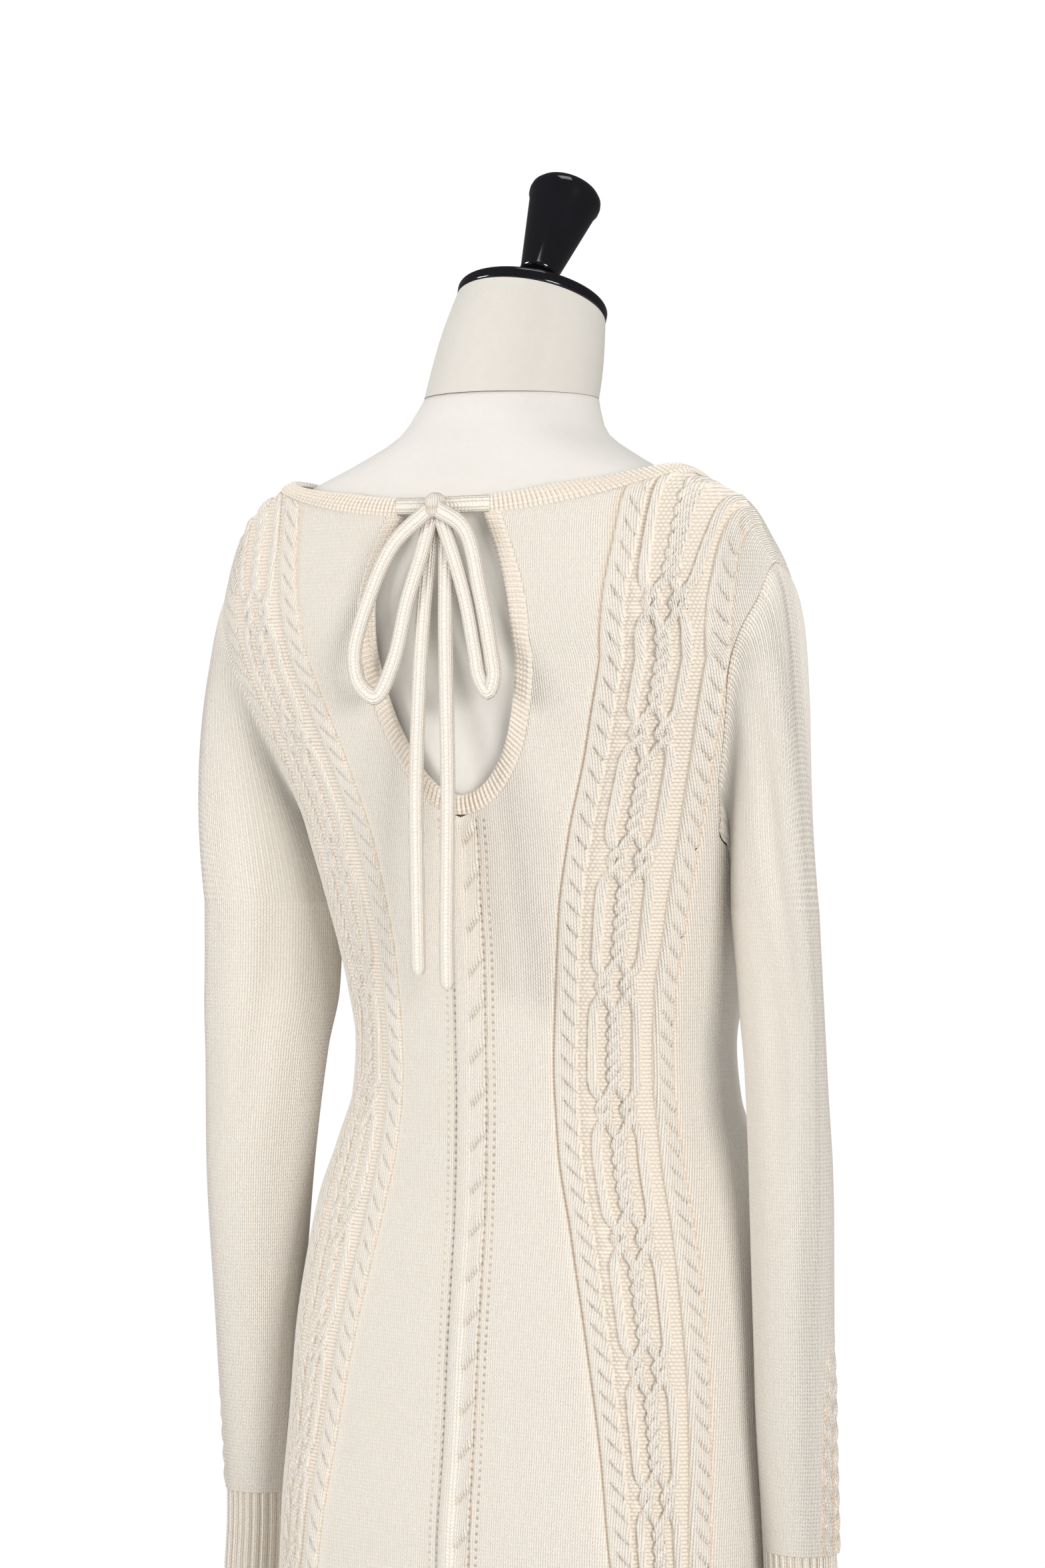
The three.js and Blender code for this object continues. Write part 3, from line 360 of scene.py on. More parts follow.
class Shell:
    """A closed cloth wall in mm, with a pattern place in mm at every corner of every face."""

    def __init__(self):
        self.points, self.grooves, self.purls = [], [], []
        self.faces, self.places = [], []
        self.count = 0

    def add(self, points, uv, groove=0.0, purl=0.0, is_ring=False):
        """Keeps a grid of points and returns its numbers and pattern places."""
        rows, columns = points.shape[:2]
        numbers = self.count + np.arange(rows * columns).reshape(rows, columns)
        self.count += rows * columns
        self.points.append(points.reshape(-1, 3))
        self.grooves.append(np.broadcast_to(groove, (rows, columns)).reshape(-1))
        self.purls.append(np.broadcast_to(purl, (rows, columns)).reshape(-1))
        if is_ring:
            numbers = np.concatenate([numbers, numbers[:, :1]], axis=1)
        return numbers, uv

    def grid(self, kept, flip=False):
        corners = [[part[:-1, :-1], part[:-1, 1:], part[1:, 1:], part[1:, :-1]] for part in kept]
        numbers, places = (np.stack(part[::-1] if flip else part, axis=2) for part in corners)
        self.faces.extend(numbers.reshape(-1, 4).tolist())
        self.places.append(places.reshape(-1, 2))

    def stitch(self, first, second, flip=False):
        """Faces between two lines side by side, each a (numbers, places) pair with its own count."""
        shares = [np.linspace(0, 1, len(line[0])) for line in (first, second)]
        i = j = 0
        while i < len(first[0]) - 1 or j < len(second[0]) - 1:
            at_end = j == len(second[0]) - 1
            step = at_end or (i < len(first[0]) - 1 and shares[0][i + 1] <= shares[1][j + 1] + 1e-9)
            corners = [(first, i), (first, i + 1), (second, j)] if step else [
                (first, i), (second, j + 1), (second, j)]
            if flip:
                corners = corners[::-1]
            self.faces.append([int(line[0][k]) for line, k in corners])
            self.places.append(np.array([line[1][k] for line, k in corners]))
            i, j = (i + 1, j) if step else (i, j + 1)

    def tube(self, kept, flip=False):
        """The sides of a tube and a face over each of its ends."""
        self.grid(kept, flip)
        for row, order in ((0, 1 if flip else -1), (-1, -1 if flip else 1)):
            numbers, places = line_of(kept, row)
            self.faces.append(numbers[:-1][::order].tolist())
            self.places.append(places[:-1][::order])

    def wall(self, surface, lift, uv, steps, side, flip, groove=0.0, purl=0.0, lining_purl=1.0, dip=0.0,
             ends=(0, -1), is_ring=False):
        """A wall of cloth: lifted outer points, a coarser plain inside WALL behind them, and the edges."""
        points, normals = surface
        mirror = np.array([side, 1, 1])
        outer = self.add((points + normals * lift[..., None]) * mirror, uv, groove, purl, is_ring)
        rows, columns = every(len(points), steps[0]), every(uv.shape[1], steps[1])
        inner = ((points + normals * (dip - WALL)) * mirror)[rows][:, columns[:-1] if is_ring else columns]
        lining = self.add(inner, uv[rows][:, columns], 0.0, lining_purl, is_ring)
        self.grid(outer, flip)
        self.grid(lining, not flip)
        for end, turned in ((0, not flip), (-1, flip)):
            self.stitch(line_of(outer, end), line_of(lining, end), turned)
            if end in ends:
                column = np.s_[:, end]
                self.stitch(line_of(outer, column), line_of(lining, column), not turned)
        return outer, lining

    def piece(self, name, finish):
        mesh = bpy.data.meshes.new(name)
        mesh.from_pydata((np.concatenate(self.points) * mm).tolist(), [], self.faces)
        layer = mesh.uv_layers.new(name="knit")
        layer.data.foreach_set("uv", np.concatenate(self.places).astype(np.float32).ravel())
        # Each point keeps its painted shade, how much darker its colour is made where its relief lies in
        # shade, and its share of purl.
        for key, values in (("groove", self.grooves), ("purl", self.purls)):
            attribute = mesh.attributes.new(key, "FLOAT", "POINT")
            attribute.data.foreach_set("value", np.concatenate(values).astype(np.float32))
        made = bpy.data.objects.new(name, mesh)
        bpy.context.collection.objects.link(made)
        made.data.materials.append(finish.material)
        bpy.ops.object.select_all(action="DESELECT")
        made.select_set(True)
        bpy.context.view_layer.objects.active = made
        bpy.ops.object.shade_smooth_by_angle(angle=radians(50))
        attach(made, "root")
        return made


def line_of(kept, place):
    return kept[0][place], kept[1][place]


def hang(made, node):
    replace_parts(made, node)


def weld_centre(made, top=NECK_POINT_Z):
    """Merges the halves of a panel where they meet, up to the height top."""
    bm = bmesh.new()
    bm.from_mesh(made.data)
    centre = [v for v in bm.verts if abs(v.co.x) < 1e-6 and v.co.z < top * mm + 0.0005]
    bmesh.ops.remove_doubles(bm, verts=centre, dist=1e-6)
    bm.to_mesh(made.data)
    bm.free()


def rope(offset, z, lean):
    """Height of a two-strand rope cable; the strands that lean the given way lie on top."""
    reach, half, pitch, height, over = 2.4, 3.1, 13.5, 2.4, 0.34
    swing = pi * z / pitch
    found = np.zeros(np.broadcast(offset, z).shape)
    for hand in (1, -1):
        centre = hand * reach * np.cos(swing)
        top = -lean * hand * np.sin(swing)
        dome = np.sqrt(unit(1 - ((offset - centre) / half) ** 2))
        found = np.maximum(found, dome * height * (1 - over + over * top))
    return found


def leaf(w, z, half, pitch, slope, height, reach):
    """Height and painted shadow lines of a flat cable whose strands overlap like scales along its right edge.
    """
    place = ((z - slope * w) / pitch) % 1
    at_edge = ((z - slope * half) / pitch) % 1
    edge = half - 1.4 + 2.4 * np.sin(pi * at_edge) ** 0.6
    share = unit((w + half) / (edge + half))
    dome = np.sqrt(unit(1 - (2 * share - 1) ** 4))
    scale = np.where(place < 0.12, place / 0.12, (1 - place) / 0.88) ** 0.7
    shown = unit((w - reach) / (0.3 * half))
    # Painted shadow: a dark line where each scale overlaps the next.
    line = shown * (dome > 0.1) * unit(1 - np.abs((place + 0.5) % 1 - 0.5) * pitch / 1.7)
    return dome * height * (1 - shown * (0.72 - 0.82 * scale)), line


KEYHOLE = {"widest_z": 1275, "half_width": 64.3, "foot_z": 1148, "top_half_width": 45.3, "top_z": 1330}


def keyhole_half_width(z):
    widest, foot, half_width = KEYHOLE["widest_z"], KEYHOLE["foot_z"], KEYHOLE["half_width"]
    low = half_width * np.sqrt(unit(1 - ((widest - z) / (widest - foot)) ** 2))
    rise = np.clip((z - widest) / (KEYHOLE["top_z"] - widest), 0, 2)
    high = half_width + (KEYHOLE["top_half_width"] - half_width) * rise**1.5
    return np.where(z <= foot, 0, np.where(z < widest, low, high))


LINK, TOP_NODE_Z, NODE_REACH = 77, 1275, 8.5
ROPE_SWING, ROPE_PITCH, ROPE_OPENS = 2.9, 8.7, 9.2
CORD_AWAY, CORD_COMES_IN, CORD_FLARE = 15.5, 10.3, 4


def chain_lift(d, z):
    """Height of the open chain cable at d mm from its middle: two outer cords, a rope and crossings."""
    phase = (z - TOP_NODE_Z) % LINK
    is_open = z > TOP_NODE_Z + LINK / 2
    away = np.where(is_open, LINK / 2, np.minimum(phase, LINK - phase))
    near = bell(away / NODE_REACH)
    rising = np.where(phase < LINK / 2, 1, -1)
    middle = phase - LINK / 2
    swing = pi * middle / ROPE_PITCH
    is_rope = (np.abs(middle) < 3 * ROPE_PITCH) | is_open
    inner = np.where(is_rope, -ROPE_SWING * np.cos(swing), ROPE_SWING + ROPE_OPENS * near)
    outer = CORD_AWAY + CORD_FLARE * unit((z - TOP_NODE_Z) / 45) - CORD_COMES_IN * near
    found = np.zeros(np.shape(d))
    for hand in (1, -1):
        outer_top = hand * rising * near * 2.2
        inner_top = np.where(is_rope, hand * np.sin(swing), -outer_top)
        for centre, top, half, height in ((outer, outer_top, 3.4, 3.9), (inner, inner_top, 3.2, 3.7)):
            off = d - hand * centre
            dome = unit(1 - np.abs(off / half) ** 2.4) ** 0.5
            over = 0.3 if centre is outer else np.where(is_rope, 0.36, 0.3)
            cord = height * dome * (1.04 - over / 2 + over * np.clip(top, -1, 1))
            cord = cord - 0.35 * bell(off / 0.6) * dome
            found = np.maximum(found, cord)
    return found


def back_grid(step, stops, counts):
    """Arc lengths, turns, heights and cable places of the back's points."""
    rows = []
    for z, rise in row_list(step):
        total, place = panel_row("back", z, rise)
        centre_z, middle_z = (float(place(np.array(share))[1]) for share in (0.0, 0.5))
        inner, spread = (float(at(CABLES, name, middle_z)) for name in ("inner", "spread"))
        marks = {"centre": 0, "inner": inner, "outer": inner + spread, "edge": total}
        ends = [marks[mark] + off for mark, off in stops]
        spans = zip(ends, ends[1:], counts)
        even = np.concatenate([np.linspace(*span, endpoint=False) for span in spans] + [ends[-1:]])
        keyhole = float(keyhole_half_width(np.array(centre_z)))
        plain = inner - BORDER
        flat = np.where(even < plain, keyhole + even * (plain - keyhole) / plain, even)
        rows.append((flat, *place(flat / total), np.full(even.shape, inner), np.full(even.shape, spread)))
    return [np.array(column) for column in zip(*rows)]


def knit_finish(name, has_ladder=False):
    """Fine stockinette in the piece's own pattern places (mm), purl where the wall says so, with painted
    shade in its low stitches, eyelets and grooves.
    """
    made = Finish(name, 0.92, sheen_weight=0.25, sheen_roughness=0.55)
    uv, u, v = made.pattern()
    groove, purl = made.attribute("groove"), made.attribute("purl")
    wale, course = 3.2, 2.35
    fuzz = made.noise(uv, 1.3, 3.0)
    wander = (made.noise(uv, 0.35) - 0.5) * 0.5
    across = (u + wander).math("PINGPONG", wale / 2) / (wale / 2)
    leg = (across * pi).math("SINE").math("POWER", 0.7)
    stitch = ((v + wander) / course - across * 0.6).math("FRACT")
    bead = (stitch * pi).math("SINE")
    knit = leg * (bead * 0.6 + 0.4)
    ridge = (v / course * pi).math("SINE").math("ABSOLUTE")
    bumps = ((u / wale + (v / course).math("FLOOR") * 0.5) * 2 * pi).math("COSINE") * 0.25 + 0.75
    height = knit * (1 - purl) + ridge * bumps * purl
    if has_ladder:
        across_pair = u.math("ABSOLUTE") - 14.1
        column = across_pair.math("ABSOLUTE") - 2.7
        is_bold = (across_pair * u).math("LESS_THAN", 0.0)
        step = (v / 4.8).math("FRACT") - 0.5
        far = (column * column / 1.5 + step * step * 14).math("SQRT")
        hole = (1 - far).math("MAXIMUM", 0.0) * (is_bold * 0.5 + 0.9)
        hole = hole * (KEYHOLE["foot_z"] - 2 - v).math("GREATER_THAN", 0.0)
        height = height - hole * 1.4
        # The eyelets are painted darker inside, as painted shade.
        groove = groove + hole * 0.6
    colour = made.blend(fuzz, (0.91, 0.835, 0.735, 1), (0.965, 0.905, 0.815, 1))
    # Painted shade: the low part of each stitch is darkened.
    shade = (1 - height.math("MAXIMUM", 0.0)) * (purl * 0.05 + 0.17)
    deep = (groove + shade).math("MINIMUM", 1.0).math("MAXIMUM", 0.0)
    # The tan is painted shade, laid on by the wall's painted shade and by the stitches' shade.
    made.feed("Base Color", made.blend(deep, colour, (0.66, 0.49, 0.32, 1)))
    made.bump(height + fuzz * 0.35, 0.95 * mm)
    return made


knit = knit_finish("cream_knit")
knit_back = knit_finish("cream_knit_with_ladder", has_ladder=True)


def back_relief(name, side, flat, height, inner, spread):
    """Lift, painted shade and share of purl over one half of the back; w runs to the wearer's right."""
    off = flat - inner - spread / 2
    chain = chain_lift(-side * off / (spread / 70), height)
    half = 6.6 + 0.9 * unit((height - 1200) / 100)
    borders = [leaf(-side * (flat - middle), height, half, 13.5, -1.15, 3.3, -0.45 * half)
               for middle in (inner, inner + spread)]
    leaves, painted_shadow_lines = (np.maximum(*pair) for pair in zip(*borders))
    lift = np.where(np.abs(off) < spread / 2 - 8, np.maximum(chain, leaves), leaves)
    ground = unit((flat - inner + 9.5) / 2) * unit((inner + spread + 9.5 - flat) / 2)
    purl = ground * (lift < 0.15)
    low = lift < 0.6
    # Painted shade on the purl ground lying low between the cords, and the painted shadow lines of the
    # borders' scales.
    groove = np.maximum(ground * unit(1 - lift / 2.2) * 0.15, painted_shadow_lines * 0.38)
    from_middle = np.abs(off) - spread / 2
    # Beside each border a dotted groove is sunk and painted darker, as painted shade.
    for away, depth in ((half + 1.3, 0.6), (-half - 1.3, 0.32)):
        near = bell((from_middle - away) / 0.65)
        groove = np.maximum(groove, near * depth * (0.75 + 0.25 * np.sin(height * 2 * pi / 4.6)))
        lift = lift - near * depth * low
    lift = lift - 0.8 * ground * low
    if name == "back_middle":
        below = unit((KEYHOLE["foot_z"] - 1 - height) / 5)
        w = -side * flat
        middle, line = leaf(w, height + 6, 10, 27, 1.15, 3.4, -0.5)
        edge = bell((np.abs(w) - 11.4) / 0.8) * below
        lift = np.where(np.abs(w) < 11, middle * below, lift) - 0.35 * edge
        # Painted shade along the centre cable's edges, darker on its right edge, the side away from the
        # light, and its painted shadow lines.
        groove = np.maximum(groove, np.maximum(edge * np.where(w > 0, 0.3, 0.12), line * below * 0.5))
    flatter = 1 - 0.45 * unit(flat / 60) * (side == 1)
    return lift * flatter, unit(groove), purl


def back_piece(name, stops, counts, sides, finish, flat_size, area):
    """One shell of the back, for the given sides: 1 the wearer's left, -1 the right, or both."""
    flat, turn, height, inner, spread = back_grid(2.0, stops, counts)
    fade = np.ones(flat.shape)
    fade[-3:] = np.array([0.8, 0.5, 0.3])[:, None]
    surface = body_point(turn, height), body_normal(turn, height)
    steps = (6, 5)
    rows = every(len(flat), steps[0])
    slit = int(np.argmax(rows >= np.argmax(height[:, 0] > KEYHOLE["foot_z"])))
    is_middle = len(sides) == 2
    ends = (-1,) if is_middle else (0, -1)
    shell = Shell()
    for side in sides:
        uv, flip = grid_of(flat * side, height), side == -1
        lift, groove, purl = back_relief(name, side, flat, height, inner, spread)
        lift, groove = lift * fade, groove * fade
        outer, lining = shell.wall(surface, lift, uv, steps, side, flip, groove, purl, ends=ends)
        if is_middle:
            shell.stitch(line_of(outer, np.s_[rows[slit]:, 0]), line_of(lining, np.s_[slit:, 0]), flip)
    made = shell.piece(name, finish)
    if is_middle:
        weld_centre(made, KEYHOLE["foot_z"])
    hang(made, "back_panel")


# A stop is a mark of a row and the mm past it. The counts are the columns from stop to stop.
SIDE_STOPS = [("inner", -BORDER), ("inner", BORDER), ("outer", -BORDER), ("outer", BORDER), ("edge", 0)]
SIDE = (SIDE_STOPS, (17, 58, 17, 14))
back_piece("back_side_left", *SIDE, (1,), knit, (0.22, 1.11), 0.18)
back_piece("back_side_right", *SIDE, (-1,), knit, (0.22, 1.11), 0.18)
MIDDLE = ([("centre", 0), ("centre", 22), ("inner", -BORDER)], (19, 10))
back_piece("back_middle", *MIDDLE, (1, -1), knit_back, (0.24, 1.09), 0.16)

# The front, which the photograph does not show: plain stockinette in one piece, joined to the back at the
# side and shoulder seams, with the low front of the boat neck at its top.
def front_panel():
    shares = np.linspace(0, 1, 53)
    rows = [panel_row("front", z, rise) for z, rise in row_list(5.0)]
    turn, height = (np.array(part) for part in zip(*(place(shares) for _, place in rows)))
    surface = body_point(turn, height), body_normal(turn, height)
    across = shares * np.array([total for total, _ in rows])[:, None]
    shell = Shell()
    for side in (1, -1):
        uv = grid_of(across * side, height)
        shell.wall(surface, np.zeros(height.shape), uv, (3, 2), side, side == 1, ends=(-1,))
    made = shell.piece("front", knit)
    weld_centre(made)
    hang(made, "front_panel")


front_panel()

# The set-in sleeves. Each is a tube knitted from the cuff up and sewn into the armhole, slim at the elbow,
# with a wedge of two rope cables let in at the outer front of the forearm.
SLEEVE = table("z x y long short", [
    [622, 204, 27, 25, 20], [704, 198.6, 30.5, 26, 21], [801, 198.5, 37, 28.5, 22.5],
    [900, 197.5, 38.5, 34.5, 21.5], [994, 193, 37, 40.5, 18.5], [1032, 189.5, 36, 44.5, 17],
    [1090, 186.5, 38, 45.5, 18.5],
])
SLEEVE_TURN = radians(32)
CAP_Z, CUFF_TOP_Z, CUFF_END_Z = 1090, 704, 634
SEAM, SLEEVE_GIRTH, CUFF_GIRTH = 0.1, 230.4, 179.2
EDGE_ROWS = [(UNDERARM_Z, 0), (1156, 0), (1165.5, 0), (1184.75, 0), (1204, 0), (1223.25, 0), (YOKE_Z, 0.001),
             (YOKE_Z, 0.16), (YOKE_Z, 0.34), (YOKE_Z, 0.52), (YOKE_Z, 0.81), (YOKE_Z, 1)]
LAST_LEVEL_ROW = 6
WEDGE = {"top_z": 850, "angle": radians(212), "radius": 27, "opens_over": 130, "rope_away": 8.5}


def armhole(per_gap):
    """Points round the armhole and the ways outwards, per_gap from one edge row to the next."""
    last = len(EDGE_ROWS) - 1
    found = []
    for index in np.arange(0, 2 * last, 1 / per_gap):
        face, number = ("back", index) if index <= last else ("front", 2 * last - index)
        z, rise = (float(np.interp(number, np.arange(last + 1), part)) for part in zip(*EDGE_ROWS))
        _, place = panel_row(face, z, rise if number > LAST_LEVEL_ROW else None)
        before, edge = body_point(*place(np.array([0.97, 1.0])))
        found.append((edge, (edge - before) / np.linalg.norm(edge - before)))
    return [np.array(part) for part in zip(*found)]


def sleeve_point(angle, z, half_widths=None):
    long, short = half_widths or (at(SLEEVE, "long", z), at(SLEEVE, "short", z))
    along, across = -long * np.cos(angle), short * np.sin(angle)
    x = at(SLEEVE, "x", z) + along * cos(SLEEVE_TURN) - across * sin(SLEEVE_TURN)
    y = at(SLEEVE, "y", z) + along * sin(SLEEVE_TURN) + across * cos(SLEEVE_TURN)
    return grid_of(x, y, z * 1.0)


def ring_spline(values, per_gap):
    """A closed smooth curve through the values."""
    n = len(values)
    found = []
    for i in range(n):
        knots = [values[(i + k) % n] for k in (-1, 0, 1, 2)]
        found.extend(between(*knots, u) for u in np.arange(per_gap) / per_gap)
    return np.array(found)


def sleeve_rings(per_gap=5):
    """Rings from the armhole down to the cuff, and the angles of their points."""
    edge, outward = armhole(1)
    n = len(edge)
    angles = ring_angles(n)
    outward[0] = (0, 0, 1)
    away = ((1 - np.cos(angles)) / 2)[:, None]
    start = edge + outward * SEAM
    end = sleeve_point(angles, np.full(n, float(CAP_Z)))
    lean = np.where(np.arange(n) == 0, 1, 0.35)[:, None]
    lead = outward * (1 - lean) + np.array([1, 0, -0.3]) * lean
    lead = lead / np.linalg.norm(lead, axis=1, keepdims=True)
    first = start + lead * (9 + 11 * np.sin(angles / 2) ** 2)[:, None]
    second = end + np.array([0, 24, 108]) * away + np.array([0, 0, 12])
    off = armhole(per_gap)[0] - ring_spline(edge, per_gap)
    rings = []
    for t in np.linspace(0, 1, 56)[:-1]:
        left = 1 - t
        coarse = left**3 * start + 3 * t * left**2 * first + 3 * t**2 * left * second + t**3 * end
        rings.append(ring_spline(coarse, per_gap) + off * left**2)
    fine = ring_angles(n * per_gap)
    heights = np.concatenate([np.arange(CAP_Z, 860, -4.0), np.linspace(858, CUFF_TOP_Z, 84)])
    rings += [sleeve_point(fine, np.full(fine.shape, z)) for z in heights]
    return np.array(rings), fine


def ring_normals(rings):
    around = np.roll(rings, -1, axis=1) - np.roll(rings, 1, axis=1)
    along = np.gradient(rings, axis=0)
    normals = np.cross(around, along)
    return normals / np.linalg.norm(normals, axis=2, keepdims=True)


def sleeve(name, side, creases):
    """A sleeve; a crease is (angle at its top, at its end, top z, end z, width in degrees, depth)."""
    rings, angles = sleeve_rings()
    z = rings[..., 2]
    angle = np.broadcast_to(angles, z.shape)
    grown = unit((WEDGE["top_z"] - z) / WEDGE["opens_over"]) * (z < CAP_Z)
    off = (angle - WEDGE["angle"]) * WEDGE["radius"]
    reach = WEDGE["rope_away"] * grown
    ropes = np.maximum(rope(off - reach, z, 1), rope(off + reach, z, -1))
    shown = unit(grown * 3)
    ground = unit(1 - (np.abs(off) - reach - 5) / 1.5) * shown
    lift = ropes * shown - 0.7 * ground * (ropes < 0.6)
    # Painted shade on the purl ground lying low beside the ropes.
    groove = ground * unit(1 - ropes / 2) * 0.6
    for top_angle, end_angle, top_z, end_z, width, depth in creases:
        share = unit((top_z - z) / (top_z - end_z))
        middle = radians(top_angle) + radians(end_angle - top_angle) * share
        lift = lift - depth * np.sin(pi * share) * bell((angle - middle) / radians(width))
    # The armhole seam is sunk a little and painted darker, as painted shade.
    seam = bell(np.arange(len(rings)) / 1.3)[:, None]
    lift = lift - 0.7 * seam
    groove = np.maximum(groove, 0.3 * seam)
    uv = ring_pattern(angles, SLEEVE_GIRTH, -distances(rings))
    shell = Shell()
    purl = ground * (ropes < 0.15)
    shell.wall((rings, ring_normals(rings)), lift, uv, (4, 2), side, side == -1, groove, purl,
               dip=np.minimum(lift, 0)[..., None], ends=(), is_ring=True)
    hang(shell.piece("knit_" + name, knit), name)


sleeve("sleeve_left", 1, [(120, 150, 1250, 900, 18, 3.0), (80, 105, 1150, 930, 16, 2.0),
                          (230, 215, 1200, 960, 18, 2.2)])
sleeve("sleeve_right", -1, [(110, 140, 1262, 1000, 14, 3.2), (100, 125, 1140, 900, 17, 2.2),
                            (215, 222, 1210, 940, 20, 2.2), (150, 165, 1040, 800, 18, 2.0)])


# The ribbed cuffs, knitted on to the sleeves' ends and drawn in a little.
def cuff(name, side):
    angles = ring_angles(168)
    heights = np.linspace(CUFF_TOP_Z, CUFF_END_Z, 30)
    rings = np.array([sleeve_point(angles, np.full(angles.shape, z), (24.6, 20.0)) for z in heights])
    ribs = np.cos(angles * 28)
    drawn_in_z, reach = 652, 20
    lift = 0.35 + 0.75 * ribs + 0.5 * bell((heights - drawn_in_z) / reach)[:, None]
    # Painted shade in the valleys between the ribs.
    groove = unit(-ribs) * 0.5
    shell = Shell()
    uv = ring_pattern(angles, CUFF_GIRTH, heights)
    shell.wall((rings, ring_normals(rings)), lift, uv, (len(rings), 2), side, side == -1, groove,
               lining_purl=0.0, ends=(), is_ring=True)
    hang(shell.piece("knit_" + name, knit), name)


cuff("cuff_left", 1)
cuff("cuff_right", -1)

# The neckband and the keyhole's binding: narrow ribbed bands picked up along the edge and knitted outwards,
# which roll a little. The neckband runs from one side of the keyhole round the neck to the other.
BAND_ACROSS = np.array([0, 0.06, 0.16, 0.32, 0.5, 0.68, 0.84, 0.94, 1])
BAND, BAND_MIDDLE, RIB = 12, 4, 3.2


def band(name, node, path, flip):
    """A ribbed band; path is its points and normals in rows across it."""
    along = distances(path[0][:, BAND_MIDDLE])
    rolled = 1.5 * np.sqrt(unit(1 - (BAND_ACROSS * 2 - 1) ** 4))
    ribs = np.cos(2 * pi * along / RIB)[:, None]
    lift = rolled * (1 + 0.42 * ribs)
    # Painted shade in the valleys between the ribs.
    groove = unit(-ribs) * 0.5
    shell = Shell()
    uv = grid_of(along[:, None], BAND_ACROSS * BAND)
    shell.wall(path, lift, uv, (6, 8), 1, flip, groove, 0.6, lining_purl=0.0)
    hang(shell.piece(name, knit), node)


def neck_path():
    """Points and normals of the neckband, even along the neckline."""
    opening = (KEYHOLE["top_half_width"] - BAND) / NECK_POINT_X * NECKLINE_SHARE
    runs = [("back", 1, opening, NECKLINE_SHARE), ("front", 1, NECKLINE_SHARE, 0),
            ("front", -1, 0, NECKLINE_SHARE), ("back", -1, NECKLINE_SHARE, opening)]
    points, normals = [], []
    for face, hand, start, end in runs:
        shares = np.minimum(np.linspace(start, end, 400), NECKLINE_SHARE - 1e-6)
        z, x, _ = top_edge(face, shares)
        turn = turn_at(face, x, z)
        climb = np.linalg.norm(body_point(turn, z + 1) - body_point(turn, z), axis=-1)[:, None]
        heights = z[:, None] + BAND_ACROSS * BAND / climb
        turns = np.broadcast_to(turn[:, None], heights.shape)
        mirror = np.array([hand, 1, 1])
        line = body_point(turns, heights) * mirror
        facing = body_normal(turns, heights) * mirror
        along = distances(line[:, BAND_MIDDLE])
        even = np.linspace(0, along[-1], round(along[-1] / 0.64) + 1)[:-1]
        points.append(resample(line, along, even))
        normals.append(resample(facing, along, even))
    return np.concatenate(points), np.concatenate(normals)


def keyhole_path():
    """Points and normals of the binding, from the top on the wearer's left round the foot to the right."""
    widest, foot, half_width = KEYHOLE["widest_z"], KEYHOLE["foot_z"], KEYHOLE["half_width"]
    level = np.arccos((widest - YOKE_Z) / (widest - foot))
    rows = [(widest - (widest - foot) * cos(t), None) for t in np.linspace(0, level, 190)]
    rows += [(YOKE_Z, float(r)) for r in np.linspace(0.005, 1, 130)]
    points, normals = [], []
    for z, rise in rows:
        total, place = panel_row("back", z, rise)
        centre_z = float(place(np.array(0.0))[1])
        half = float(keyhole_half_width(np.array(centre_z)))
        turn, edge_z = place(np.array([half / total]))
        edge_x = float(body_point(turn, edge_z)[0, 0])
        sine = min(1.0, half / half_width) if centre_z < widest else 1.0
        cosine = np.sqrt(1 - sine**2)
        x = np.maximum(0, edge_x - sine * BAND_ACROSS * BAND)
        neck_z, _, _ = top_edge("back", x / NECK_POINT_X * NECKLINE_SHARE)
        height = np.minimum(float(edge_z[0]) + cosine * BAND_ACROSS * BAND, neck_z)
        turns = turn_at("back", x, height)
        points.append(body_point(turns, height))
        normals.append(body_normal(turns, height))
    whole = [np.array(part) for part in (points, normals)]
    return [np.concatenate([part[::-1], (part * np.array([-1, 1, 1]))[1:]]) for part in whole]


band("rib_neckband", "neckband", neck_path(), True)
band("rib_binding", "keyhole_binding", keyhole_path(), False)

# The tie that closes the keyhole: a flat knitted strap from each end of the neckband, tied in a bow at the
# centre back. The two loops fall over the keyhole, and the two free ends hang down below it.
TIE_WIDTH, TIE_THICK, TIE_GIRTH, TIE_STEP = 10.4, 2.6, 22.4, 1.5
TIES = {
    "tie_bridge_left": [(34, 120.6, 1338), (20, 124.8, 1337.5), (6, 128.3, 1337)],
    "tie_bridge_right": [(-34, 120.6, 1337.6), (-20, 124.8, 1337.4), (-6, 128.3, 1337)],
    "bow_loop_left": [
        (3, 132.6, 1334.5), (28.5, 133, 1314), (48, 132, 1280), (59, 131, 1247), (56, 130, 1229),
        (44, 129.5, 1221), (31, 129.5, 1242), (20.5, 129.5, 1280), (9.5, 129.5, 1310), (3, 129.6, 1332)],
    "bow_loop_right": [
        (-3, 132.6, 1335), (-23, 133, 1322), (-34.5, 132, 1281), (-41, 131, 1247), (-42.5, 130, 1232),
        (-38, 129, 1223), (-31.5, 129, 1232), (-28.5, 129, 1247), (-21.5, 129.5, 1281), (-11, 129.5, 1312),
        (-3, 129.6, 1332)],
    "tie_end_left": [
        (4.2, 126.4, 1333), (6.5, 125.6, 1318), (12, 126, 1261), (14.5, 126.5, 1213), (16.5, 126, 1165),
        (16, 126, 1117), (15, 126, 1069), (14.5, 126, 1050)],
    "tie_end_right": [
        (-4.2, 126.4, 1333), (-4.8, 125.6, 1310), (-5, 126, 1261), (-6.2, 126.5, 1213),
        (-6.8, 126, 1165), (-6.4, 126, 1117), (-6, 126, 1069), (-6.6, 126, 1042)],
}


